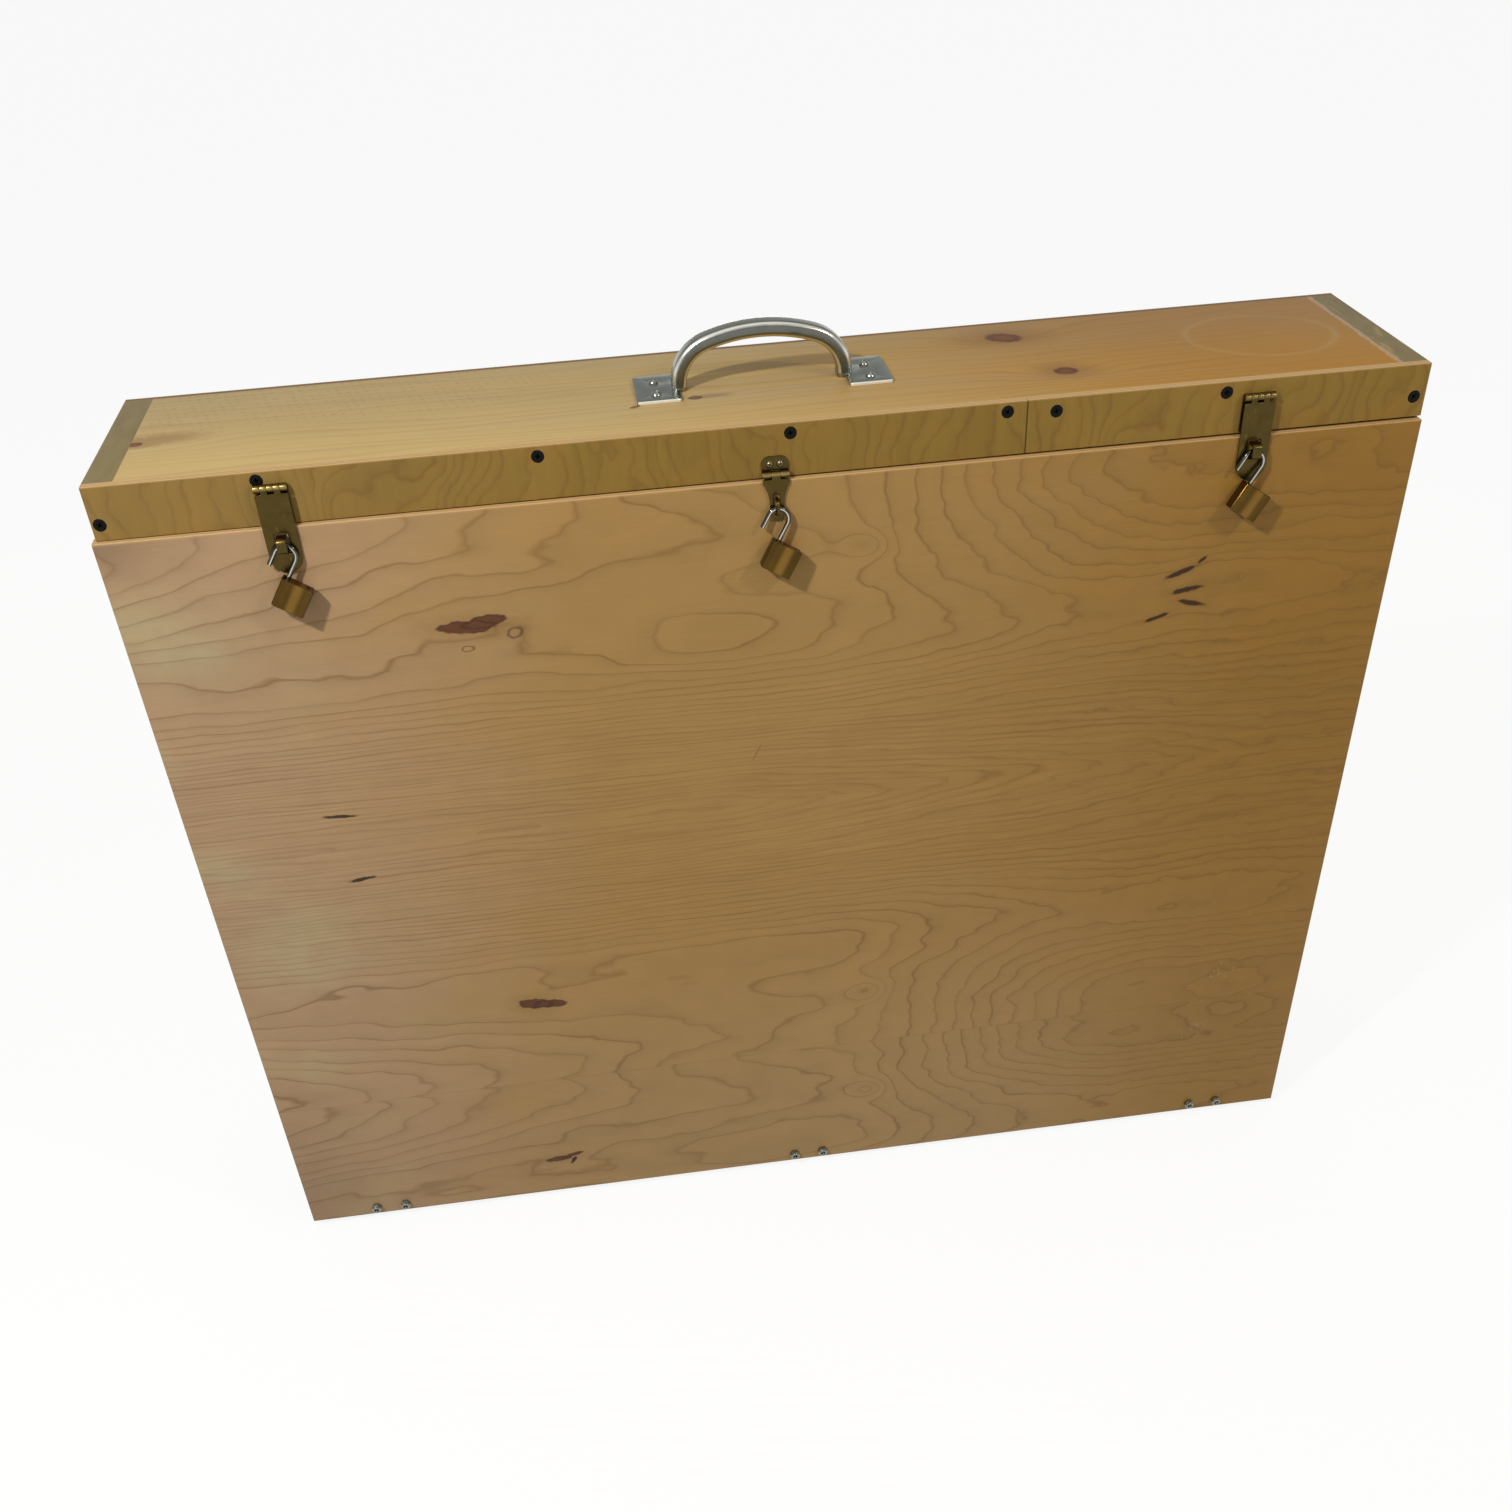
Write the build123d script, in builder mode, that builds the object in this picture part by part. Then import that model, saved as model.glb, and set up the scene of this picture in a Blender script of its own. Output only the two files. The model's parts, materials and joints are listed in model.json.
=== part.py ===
from build123d import *
import os
from collections import namedtuple
from math import cos, degrees, asin, radians, sin, sqrt

os.makedirs("parts", exist_ok=True)

# All sizes are in millimetres. X runs along the box from left to right, Y from the front
# to the back and Z up. The origin is the centre of the underside of the case.

ScrewSize = namedtuple("ScrewSize", "head_diameter head_height shank_diameter length drive")
HaspSize = namedtuple(
    "HaspSize",
    "width barrel_diameter pin_diameter leaf_thickness strap_thickness strap_length knuckles"
    " slot_width slot_height staple_width staple_thickness eye_height",
)
Hasp = namedtuple("Hasp", "side x pin_z bar_top lock_lean size")
Place = namedtuple("Place", "anchor offset")

# Case
box_width = 813.0
box_height = 629.0
board_thickness = 18.0
board_width = 140.0
back_panel_thickness = 4.0
board_round = 0.8

# Plywood strip across the top of the front, in two pieces
strip_thickness = 5.5
strip_height = 32.5
strip_right_length = 254.0
strip_joint_gap = 0.3
strip_round = 0.4

# Plywood door, a little out of square along its top
door_thickness = 8.7
door_back_gap = 0.3
door_bottom_gap = 6.0
door_top_gap_left = 0.6
door_top_gap_right = 1.6
door_overhang_left = 2.3
door_inset_right = 0.3
door_round = 0.5

# Door hinges, with both leaves let in flush
door_hinge_offsets = (("left", 62.5), ("middle", 3.0), ("right", -63.5))
hinge_length = 38.0
hinge_leaf_height = 15.0
hinge_leaf_thickness = 1.5
hinge_barrel_diameter = 5.0
hinge_pin_diameter = 2.0
hinge_pin_height = 2.8
hinge_hole_spacing = 23.5
hinge_hole_rise = 11.4
hinge_knuckles = 3

# Clearances
running_gap = 0.05
knuckle_gap = 0.2
barrel_gap = 0.3
mortise_gap = 0.2
screw_gap = 0.02

# Screws: head diameter, head height, shank diameter, length and drive width
strip_screw = ScrewSize(head_diameter=7.8, head_height=3.4, shank_diameter=3.4, length=25.0, drive=3.6)
corner_screw = ScrewSize(head_diameter=7.8, head_height=3.4, shank_diameter=3.4, length=41.0, drive=3.6)
panel_screw = ScrewSize(head_diameter=6.4, head_height=2.8, shank_diameter=2.8, length=16.0, drive=3.0)
hinge_screw = ScrewSize(head_diameter=5.2, head_height=1.4, shank_diameter=2.5, length=13.0, drive=2.6)
leaf_screw = ScrewSize(head_diameter=4.6, head_height=1.1, shank_diameter=2.4, length=14.0, drive=2.4)
plate_screw = ScrewSize(head_diameter=4.6, head_height=1.5, shank_diameter=2.2, length=6.2, drive=2.3)
handle_screw = ScrewSize(head_diameter=6.6, head_height=2.2, shank_diameter=3.5, length=16.0, drive=3.2)
door_bolt = ScrewSize(head_diameter=7.2, head_height=2.2, shank_diameter=4.0, length=14.4, drive=3.6)
screw_rim = 0.3
screw_tip = 4.0
bolt_tip = 0.5
screw_point_share = 0.25
recess_arm_share = 0.25
recess_depth_share = 0.5

# Where the strip's screws are: from the left end, the middle, the joint or the right end of
# the strip, and how far below the top
strip_screw_places = (
    (Place("left", 5.0), 23.1),
    (Place("left", 99.4), 5.5),
    (Place("middle", -143.5), 6.5),
    (Place("middle", 7.5), 6.4),
    (Place("joint", -12.2), 6.0),
    (Place("joint", 18.2), 8.3),
    (Place("right", -129.3), 6.7),
    (Place("right", -7.2), 20.1),
)
corner_screw_spacing = 90.0
panel_screw_edge_inset = 100.0
panel_screws_along = 4
panel_screws_up = 3
panel_screw_end_gap = 120.0

# Lock nuts on the door bolts
nut_across_flats = 7.0
nut_hex_height = 3.4
nut_height = 5.0
nut_collar_diameter = 6.4
nut_insert_height = 1.3
nut_insert_wall = 0.7
nut_chamfer = 0.4

# Carrying handle, one piece of formed steel
handle_x = 0.6
handle_length = 161.0
handle_plate_length = 28.0
handle_plate_width = 48.0
handle_plate_thickness = 1.8
handle_plate_round = 2.5
handle_rise = 38.0
grip_width = 13.4
grip_thickness = 9.6
grip_edge_radius = 3.6
grip_foot_inset = 28.0
grip_corner_radius = 26.0
grip_shoulder_height = 2.9
handle_screw_inset = 12.8
handle_screw_spacing = 23.0

# Hasps: two long safety hasps and a small one between them
long_hasp = HaspSize(
    width=19.6,
    barrel_diameter=5.0,
    pin_diameter=2.0,
    leaf_thickness=1.2,
    strap_thickness=1.2,
    strap_length=51.5,
    knuckles=5,
    slot_width=8.4,
    slot_height=12.8,
    staple_width=5.8,
    staple_thickness=1.6,
    eye_height=6.2,
)
small_hasp = HaspSize(
    width=16.6,
    barrel_diameter=4.4,
    pin_diameter=1.8,
    leaf_thickness=1.0,
    strap_thickness=1.0,
    strap_length=28.4,
    knuckles=3,
    slot_width=3.4,
    slot_height=13.6,
    staple_width=0.0,
    staple_thickness=2.0,
    eye_height=6.0,
)
left_hasp_inset = 106.7
middle_hasp_offset = -2.7
right_hasp_inset = 108.9
left_pin_drop = 9.5
middle_pin_drop = 30.0
right_pin_drop = 10.0
left_bar_drop = 45.7
middle_bar_drop = 51.4
right_bar_drop = 45.0
left_lock_lean = 33.0
middle_lock_lean = 31.0
right_lock_lean = 33.5
strap_door_gap = 0.4
slot_corner_radius = 1.0
long_leaf_drop = 21.5
long_leaf_screw_drop = 5.7
long_leaf_screw_spacing = 11.0
slot_drop_margin = 1.7
small_plate_width = 17.0
small_plate_rise = 10.6
small_plate_round = 5.0
small_plate_screw_rise = 5.8
small_plate_screw_spacing = 6.4
small_strap_shoulder = 5.0
small_strap_neck = 17.0
small_strap_end_width = 9.0
small_strap_waist = 0.9
staple_reach = 2.0
staple_bend = 2.0
staple_clinch = 4.6

# Padlocks, open, hung on the staples with their bodies turned away
lock_width = 20.0
lock_height = 18.0
lock_thickness = 9.6
lock_edge_round = 1.5
lock_end_round = 0.5
lock_tilt = 7.0
shackle_diameter = 2.8
shackle_span = 13.0
shackle_clear_height = 20.0
shackle_tip_gap = 3.0
shackle_leg_inside = 9.0
shackle_strap_gap = 0.4
shackle_bar_gap = 0.3
shackle_hole_gap = 0.1
shackle_groove_depth = 0.6
shackle_collar = 1.5
leg_hole_depth = 16.5
tip_hole_depth = 7.0
retainer_diameter = 1.2
plug_diameter = 7.0
plug_length = 9.0
keyway_width = 1.2
keyway_height = 5.0
keyway_depth = 6.0
latch_diameter = 3.0
latch_length = 4.6
latch_drop = 5.0
latch_bite = 1.0

# Faces that several pieces share
half_width = box_width / 2
inner_half_width = half_width - board_thickness
board_front = -board_width / 2
board_back = board_width / 2
back_face = board_back + back_panel_thickness
top_board_bottom = box_height - board_thickness
strip_joint_x = half_width - strip_right_length
strip_front = board_front - strip_thickness
strip_bottom = box_height - strip_height
door_back = board_front - door_back_gap
door_front = door_back - door_thickness
door_left = -half_width - door_overhang_left
door_right = half_width - door_inset_right
hinge_pin_y = (board_front + door_back) / 2
hinge_hole_z = hinge_pin_height + hinge_hole_rise
strap_back = door_front - strap_door_gap
anchors = {"left": -half_width, "middle": 0.0, "joint": strip_joint_x, "right": half_width}
door_hinge_places = [(side, anchors[side] + offset) for side, offset in door_hinge_offsets]
hasps = (
    Hasp(
        "left",
        anchors["left"] + left_hasp_inset,
        box_height - left_pin_drop,
        box_height - left_bar_drop,
        left_lock_lean,
        long_hasp,
    ),
    Hasp(
        "middle",
        middle_hasp_offset,
        box_height - middle_pin_drop,
        box_height - middle_bar_drop,
        middle_lock_lean,
        small_hasp,
    ),
    Hasp(
        "right",
        anchors["right"] - right_hasp_inset,
        box_height - right_pin_drop,
        box_height - right_bar_drop,
        right_lock_lean,
        long_hasp,
    ),
)


def save(built, label):
    """Name the finished piece and write it to its own file."""
    built.part.label = label
    export_step(built.part, f"parts/{label}.step")


def facing_front(x, y, z):
    return Plane(origin=(x, y, z), x_dir=(1, 0, 0), z_dir=(0, -1, 0))


def facing_back(x, y, z):
    return Plane(origin=(x, y, z), x_dir=(-1, 0, 0), z_dir=(0, 1, 0))


def facing_up(x, y, z):
    return Plane(origin=(x, y, z), x_dir=(1, 0, 0), z_dir=(0, 0, 1))


def facing_side(x, y, z):
    """A plane that looks away from the middle of the box, to the left or to the right."""
    outward = 1 if x > 0 else -1
    return Plane(origin=(x, y, z), x_dir=(0, outward, 0), z_dir=(outward, 0, 0))


def across_x(x, y, z):
    """A plane square to the X axis."""
    return Plane(origin=(x, y, z), x_dir=(0, 1, 0), z_dir=(1, 0, 0))


def section_of(place):
    """The plane through a screw's axis, with its own Y along the axis and out of the head."""
    return Plane(origin=place.origin, x_dir=place.x_dir, z_dir=-place.y_dir)


def block(x_range, y_range, z_range, mode=Mode.ADD):
    """A square block between two values on each axis."""
    with BuildSketch(Plane.XY.offset(z_range[0])) as base:
        with Locations((sum(x_range) / 2, sum(y_range) / 2)):
            Rectangle(x_range[1] - x_range[0], y_range[1] - y_range[0])
    extrude(base.sketch, amount=z_range[1] - z_range[0], mode=mode)


def flat_screw(place, size, gap=0.0, tip=screw_tip, mode=Mode.ADD):
    """A countersunk screw flush with the plane, or with a gap the hole that it fits."""
    head = size.head_diameter / 2 + gap
    shank = size.shank_diameter / 2 + gap
    end = size.length + gap
    point = shank * screw_point_share
    with BuildSketch(section_of(place)) as profile:
        with BuildLine():
            Polyline(
                (0, 0),
                (head, 0),
                (head, -screw_rim),
                (shank, -size.head_height),
                (shank, tip - end),
                (point, -end),
                (0, -end),
                close=True,
            )
        make_face()
    revolve(profile.sketch, axis=Axis(place.origin, place.z_dir), mode=mode)


def round_screw(place, size, gap=0.0, mode=Mode.ADD):
    """A round-headed screw that stands on the plane, or with a gap the hole for its shank."""
    head = size.head_diameter / 2
    shank = size.shank_diameter / 2 + gap
    end = size.length + gap
    point = shank * screw_point_share
    with BuildSketch(section_of(place)) as profile:
        with BuildLine():
            Polyline((shank, 0), (shank, screw_tip - end), (point, -end), (0, -end))
            if mode == Mode.ADD:
                Line((0, -end), (0, size.head_height))
                TangentArc((0, size.head_height), (head, 0), tangent=(1, 0))
                Line((head, 0), (shank, 0))
            else:
                Polyline((0, -end), (0, 0), (shank, 0))
        make_face()
    revolve(profile.sketch, axis=Axis(place.origin, place.z_dir), mode=mode)


def cross_recess(place, size):
    """The cross in a screw's head, cut from the plane inwards."""
    with BuildSketch(place) as cross:
        Rectangle(size.drive, size.drive * recess_arm_share)
        Rectangle(size.drive * recess_arm_share, size.drive)
    extrude(cross.sketch, amount=-size.head_height * recess_depth_share, mode=Mode.SUBTRACT)


def rings(pin_y, pin_z, outer_diameter, bore_diameter, spans):
    """Hinge knuckles round a pin along X, one for each stretch of X."""
    for start, end in spans:
        with BuildSketch(across_x(start, pin_y, pin_z)) as ring:
            Circle(outer_diameter / 2)
            Circle(bore_diameter / 2, mode=Mode.SUBTRACT)
        extrude(ring.sketch, amount=end - start)


def knuckle_spans(centre, width, count, first):
    """Every second stretch of a barrel, from the first one, with a gap at each joint."""
    pitch = width / count
    spans = []
    for index in range(first, count, 2):
        start = centre - width / 2 + index * pitch
        end = start + pitch
        spans.append(
            (
                start + (knuckle_gap / 2 if index else 0),
                end - (knuckle_gap / 2 if index < count - 1 else 0),
            )
        )
    return spans


def hinge_pin(centre, pin_y, pin_z, diameter, length):
    """A plain pin along X."""
    start = centre - length / 2
    with BuildSketch(across_x(start, pin_y, pin_z)) as end:
        Circle(diameter / 2)
    extrude(end.sketch, amount=length)


strip_screw_planes = [
    facing_front(anchors[place.anchor] + place.offset, strip_front, box_height - drop)
    for place, drop in strip_screw_places
]
corner_screw_planes = [
    facing_side(side * half_width, y, z)
    for side in (-1, 1)
    for y in (-corner_screw_spacing / 2, corner_screw_spacing / 2)
    for z in (board_thickness / 2, box_height - board_thickness / 2)
]
panel_screw_step_x = (box_width - 2 * panel_screw_edge_inset) / (panel_screws_along - 1)
panel_screw_step_z = (box_height - 2 * panel_screw_end_gap) / (panel_screws_up - 1)
panel_screw_planes = [
    facing_back(panel_screw_edge_inset - half_width + i * panel_screw_step_x, back_face, z)
    for i in range(panel_screws_along)
    for z in (board_thickness / 2, box_height - board_thickness / 2)
] + [
    facing_back(
        side * (half_width - board_thickness / 2),
        back_face,
        panel_screw_end_gap + i * panel_screw_step_z,
    )
    for i in range(panel_screws_up)
    for side in (-1, 1)
]
handle_screw_planes = [
    facing_up(
        handle_x + side * (handle_length / 2 - handle_screw_inset),
        y,
        box_height + handle_plate_thickness,
    )
    for side in (-1, 1)
    for y in (-handle_screw_spacing / 2, handle_screw_spacing / 2)
]
hinge_screw_planes = [
    facing_front(x + offset, board_front, hinge_hole_z)
    for side, x in door_hinge_places
    for offset in (-hinge_hole_spacing / 2, hinge_hole_spacing / 2)
]
door_bolt_planes = [
    facing_back(x + offset, door_back, hinge_hole_z)
    for side, x in door_hinge_places
    for offset in (-hinge_hole_spacing / 2, hinge_hole_spacing / 2)
]
leaf_screw_planes = [
    facing_front(
        hasp.x + offset, strip_front - hasp.size.leaf_thickness, hasp.pin_z - long_leaf_screw_drop
    )
    for hasp in hasps
    if hasp.size is long_hasp
    for offset in (-long_leaf_screw_spacing / 2, long_leaf_screw_spacing / 2)
]
plate_screw_planes = [
    facing_front(
        hasp.x + offset, strip_front - hasp.size.leaf_thickness, hasp.pin_z + small_plate_screw_rise
    )
    for hasp in hasps
    if hasp.size is small_hasp
    for offset in (-small_plate_screw_spacing / 2, small_plate_screw_spacing / 2)
]


def screw_holes(planes, size):
    """Holes for a group of flat screws, wherever they pass through the piece being made."""
    for place in planes:
        flat_screw(place, size, gap=screw_gap, mode=Mode.SUBTRACT)


# Side boards, full height, with their end grain showing at the top
for side, sign in (("left", -1), ("right", 1)):
    outer, inner = sign * half_width, sign * inner_half_width
    with BuildPart() as side_board:
        block(sorted((outer, inner)), (board_front, board_back), (0, box_height))
        outer_edges = side_board.edges().filter_by(Axis.Z).sort_by(Axis.X)
        fillet(outer_edges[:2] if sign < 0 else outer_edges[-2:], board_round)
        on_this_side = [place for place in corner_screw_planes if place.origin.X * sign > 0]
        screw_holes(on_this_side, corner_screw)
        edge_screws = [place for place in panel_screw_planes if place.origin.X * sign > inner_half_width]
        screw_holes(edge_screws, panel_screw)
        strip_end_screws = [
            place for place in strip_screw_planes if place.origin.X * sign > inner_half_width
        ]
        screw_holes(strip_end_screws, strip_screw)
    save(side_board, f"side_board_{side}")

# Top board between the side boards
with BuildPart() as top_board:
    block((-inner_half_width, inner_half_width), (board_front, board_back), (top_board_bottom, box_height))
    screw_holes([p for p in corner_screw_planes if p.origin.Z > box_height / 2], corner_screw)
    screw_holes([p for p in panel_screw_planes if p.origin.Z > top_board_bottom], panel_screw)
    screw_holes([p for p in strip_screw_planes if abs(p.origin.X) < inner_half_width], strip_screw)
    screw_holes(leaf_screw_planes, leaf_screw)
    for place in handle_screw_planes:
        round_screw(place, handle_screw, gap=screw_gap, mode=Mode.SUBTRACT)
save(top_board, "top_board")

# Bottom board between the side boards, with a mortise and a barrel notch for each hinge
with BuildPart() as bottom_board:
    block((-inner_half_width, inner_half_width), (board_front, board_back), (0, board_thickness))
    for side, x in door_hinge_places:
        mortise = (x - hinge_length / 2 - mortise_gap, x + hinge_length / 2 + mortise_gap)
        leaf_depth = board_front + hinge_leaf_thickness
        leaf_top = hinge_pin_height + hinge_leaf_height + mortise_gap
        barrel_depth = hinge_pin_y + hinge_barrel_diameter / 2 + barrel_gap
        barrel_top = hinge_pin_height + hinge_barrel_diameter / 2 + barrel_gap
        block(mortise, (board_front, leaf_depth), (0, leaf_top), Mode.SUBTRACT)
        block(mortise, (board_front, barrel_depth), (0, barrel_top), Mode.SUBTRACT)
    screw_holes([p for p in corner_screw_planes if p.origin.Z < box_height / 2], corner_screw)
    screw_holes([p for p in panel_screw_planes if p.origin.Z < board_thickness], panel_screw)
    screw_holes(hinge_screw_planes, hinge_screw)
save(bottom_board, "bottom_board")

# Back panel over the back edges of the boards
with BuildPart() as back_panel:
    block((-half_width, half_width), (board_back, back_face), (0, box_height))
    screw_holes(panel_screw_planes, panel_screw)
save(back_panel, "back_panel")

# Front strip, a long piece and a short one that meet at a butt joint
for side, x_range in (
    ("left", (-half_width, strip_joint_x - strip_joint_gap / 2)),
    ("right", (strip_joint_x + strip_joint_gap / 2, half_width)),
):
    with BuildPart() as front_strip:
        block(x_range, (strip_front, board_front), (strip_bottom, box_height))
        top_edge = front_strip.edges().filter_by(Axis.X).group_by(Axis.Y)[0].sort_by(Axis.Z)[-1]
        fillet(top_edge, strip_round)
        screw_holes(
            [p for p in strip_screw_planes if x_range[0] < p.origin.X < x_range[1]], strip_screw
        )
        screw_holes([p for p in leaf_screw_planes if x_range[0] < p.origin.X < x_range[1]], leaf_screw)
        for place in plate_screw_planes:
            if x_range[0] < place.origin.X < x_range[1]:
                round_screw(place, plate_screw, gap=screw_gap, mode=Mode.SUBTRACT)
    save(front_strip, f"front_strip_{side}")

# Screws of the case
for label, planes, size in (
    ("strip_screws", strip_screw_planes, strip_screw),
    ("corner_screws", corner_screw_planes, corner_screw),
    ("back_panel_screws", panel_screw_planes, panel_screw),
    ("hinge_wood_screws", hinge_screw_planes, hinge_screw),
    ("hasp_leaf_screws", leaf_screw_planes, leaf_screw),
):
    with BuildPart() as screws:
        for place in planes:
            flat_screw(place, size)
            cross_recess(place, size)
    save(screws, label)

for label, planes, size in (
    ("handle_screws", handle_screw_planes, handle_screw),
    ("hasp_plate_screws", plate_screw_planes, plate_screw),
):
    with BuildPart() as screws:
        for place in planes:
            round_screw(place, size)
            cross_recess(place.offset(size.head_height), size)
    save(screws, label)

# Carrying handle: an arched grip that runs down into a plate at each end. The crown is the
# one arc that reaches the rise and runs smoothly into both corners.
foot_x = handle_length / 2 - grip_foot_inset
crown_height = handle_rise - grip_thickness / 2
corner_reach = foot_x - grip_corner_radius
arch_height = crown_height - grip_shoulder_height
crown_radius = (corner_reach**2 + arch_height**2 - grip_corner_radius**2) / (
    2 * (arch_height - grip_corner_radius)
)
crown_half_angle = degrees(asin(corner_reach / (crown_radius - grip_corner_radius)))
with BuildPart() as carry_handle:
    with BuildLine(facing_front(handle_x, 0, box_height)) as grip_line:
        left_foot = Line((-foot_x, 0), (-foot_x, grip_shoulder_height))
        left_corner = JernArc(left_foot @ 1, left_foot % 1, grip_corner_radius, crown_half_angle - 90)
        crown = JernArc(left_corner @ 1, left_corner % 1, crown_radius, -2 * crown_half_angle)
        right_corner = JernArc(crown @ 1, crown % 1, grip_corner_radius, crown_half_angle - 90)
        Line(right_corner @ 1, (foot_x, 0))
    with BuildSketch(Plane.XY.offset(box_height)):
        with Locations((handle_x - foot_x, 0)):
            RectangleRounded(grip_thickness, grip_width, grip_edge_radius)
    sweep(path=grip_line.wire())
    for sign in (-1, 1):
        plate_centre = handle_x + sign * (handle_length - handle_plate_length) / 2
        with BuildSketch(Plane.XY.offset(box_height)):
            with Locations((plate_centre, 0)):
                RectangleRounded(handle_plate_length, handle_plate_width, handle_plate_round)
        extrude(amount=handle_plate_thickness)
    for place in handle_screw_planes:
        round_screw(place, handle_screw, gap=screw_gap, mode=Mode.SUBTRACT)
save(carry_handle, "carry_handle")

# Door hinges: a leaf let into the bottom board, a leaf let into the door, and a pin
for side, x in door_hinge_places:
    for leaf_name, first, faces in (
        ("frame_leaf", 0, (board_front, board_front + hinge_leaf_thickness)),
        ("door_leaf", 1, (door_back - hinge_leaf_thickness, door_back)),
    ):
        spans = knuckle_spans(x, hinge_length, hinge_knuckles, first)
        clear_z = hinge_pin_height + hinge_barrel_diameter / 2 + barrel_gap
        wall_z = hinge_pin_height + (hinge_pin_diameter + hinge_barrel_diameter) / 4
        bore = hinge_pin_diameter + (2 * running_gap if leaf_name == "door_leaf" else 2 * screw_gap)
        with BuildPart() as leaf:
            rings(hinge_pin_y, hinge_pin_height, hinge_barrel_diameter, bore, spans)
            for span in spans:
                block(span, faces, (wall_z, clear_z))
            full = (x - hinge_length / 2, x + hinge_length / 2)
            block(full, faces, (clear_z, hinge_pin_height + hinge_leaf_height))
            if leaf_name == "frame_leaf":
                screw_holes(hinge_screw_planes, hinge_screw)
            else:
                screw_holes(door_bolt_planes, door_bolt)
        save(leaf, f"{side}_door_hinge_{leaf_name}")
    with BuildPart() as pin:
        hinge_pin(x, hinge_pin_y, hinge_pin_height, hinge_pin_diameter, hinge_length)
    save(pin, f"{side}_door_hinge_pin")

# Door bolts, from inside, with lock nuts on the face of the door
with BuildPart() as door_bolts:
    for place in door_bolt_planes:
        flat_screw(place, door_bolt, tip=bolt_tip)
        cross_recess(place, door_bolt)
save(door_bolts, "door_bolts")

nut_bore = door_bolt.shank_diameter + 2 * screw_gap
nut_insert_diameter = door_bolt.shank_diameter + 2 * nut_insert_wall
with BuildPart() as lock_nuts:
    for place in door_bolt_planes:
        nut_place = facing_front(place.origin.X, door_front, place.origin.Z)
        with BuildSketch(nut_place):
            RegularPolygon(nut_across_flats / 2, 6, major_radius=False)
        extrude(amount=nut_hex_height)
        with BuildSketch(nut_place):
            Circle(nut_collar_diameter / 2)
        extrude(amount=nut_height)
        with BuildSketch(nut_place):
            Circle(nut_bore / 2)
        extrude(amount=nut_height, mode=Mode.SUBTRACT)
        with BuildSketch(nut_place.offset(nut_height - nut_insert_height)):
            Circle(nut_insert_diameter / 2)
        extrude(amount=nut_insert_height, mode=Mode.SUBTRACT)
    rims = lock_nuts.edges().filter_by(GeomType.CIRCLE).group_by(Axis.Y)[0].group_by(SortBy.RADIUS)[-1]
    chamfer(rims, nut_chamfer)
save(lock_nuts, "lock_nuts")

with BuildPart() as nut_inserts:
    for place in door_bolt_planes:
        nut_place = facing_front(place.origin.X, door_front, place.origin.Z)
        with BuildSketch(nut_place.offset(nut_height - nut_insert_height)):
            Circle(nut_insert_diameter / 2)
            Circle(nut_bore / 2, mode=Mode.SUBTRACT)
        extrude(amount=nut_insert_height)
save(nut_inserts, "nut_inserts")


def pin_y_of(size):
    """The strap leaves the front of the barrel, and its back clears the door."""
    return strap_back - size.strap_thickness + size.barrel_diameter / 2


def staple_outer_y(size):
    """The centre line of the staple's outer bar, beyond the shackle in its eye."""
    shackle_front = strap_back - size.strap_thickness - shackle_strap_gap - shackle_diameter
    return shackle_front - staple_reach - size.staple_thickness / 2


def strap_outline(hasp):
    """The strap seen from the front, with its slot, below the pin's axis."""
    size = hasp.size
    end = -size.strap_length
    clear = -size.barrel_diameter / 2 - barrel_gap
    half = size.width / 2
    with BuildLine() as outline:
        if size is long_hasp:
            Polyline((-half, end + half), (-half, clear), (half, clear), (half, end + half))
            ThreePointArc((half, end + half), (0, end), (-half, end + half))
        else:
            tail = small_strap_end_width / 2
            waist_half = (half + tail) / 2 - small_strap_waist
            waist_drop = (small_strap_shoulder + small_strap_neck) / 2
            shoulder, neck = -small_strap_shoulder, -small_strap_neck
            Polyline((-half, shoulder), (-half, clear), (half, clear), (half, shoulder))
            ThreePointArc((half, shoulder), (waist_half, -waist_drop), (tail, neck))
            Line((tail, neck), (tail, end + tail))
            ThreePointArc((tail, end + tail), (0, end), (-tail, end + tail))
            Line((-tail, end + tail), (-tail, neck))
            ThreePointArc((-tail, neck), (-waist_half, -waist_drop), (-half, shoulder))
    make_face(outline.edges())
    slot_bottom = hasp.bar_top - size.staple_thickness - slot_drop_margin - hasp.pin_z
    with Locations((0, slot_bottom + size.slot_height / 2)):
        RectangleRounded(size.slot_width, size.slot_height, slot_corner_radius, mode=Mode.SUBTRACT)


def staple_form(hasp):
    """A loop that stands out of the door, with its legs clinched on the inside."""
    size = hasp.size
    thickness = size.staple_thickness
    low = hasp.bar_top - thickness / 2
    high = hasp.bar_top + size.eye_height + thickness / 2
    outer = staple_outer_y(size)
    inner = door_back + thickness / 2
    with BuildLine() as loop:
        FilletPolyline(
            (hasp.x, inner, high + staple_clinch),
            (hasp.x, inner, high),
            (hasp.x, outer, high),
            (hasp.x, outer, low),
            (hasp.x, inner, low),
            (hasp.x, inner, low - staple_clinch),
            radius=staple_bend,
        )
    start = Plane(origin=loop.wire() @ 0, x_dir=(1, 0, 0), z_dir=loop.wire() % 0)
    with BuildSketch(start) as section:
        if size.staple_width:
            Rectangle(size.staple_width, thickness)
        else:
            Circle(thickness / 2)
    sweep(section.sketch, path=loop.wire())


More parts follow.
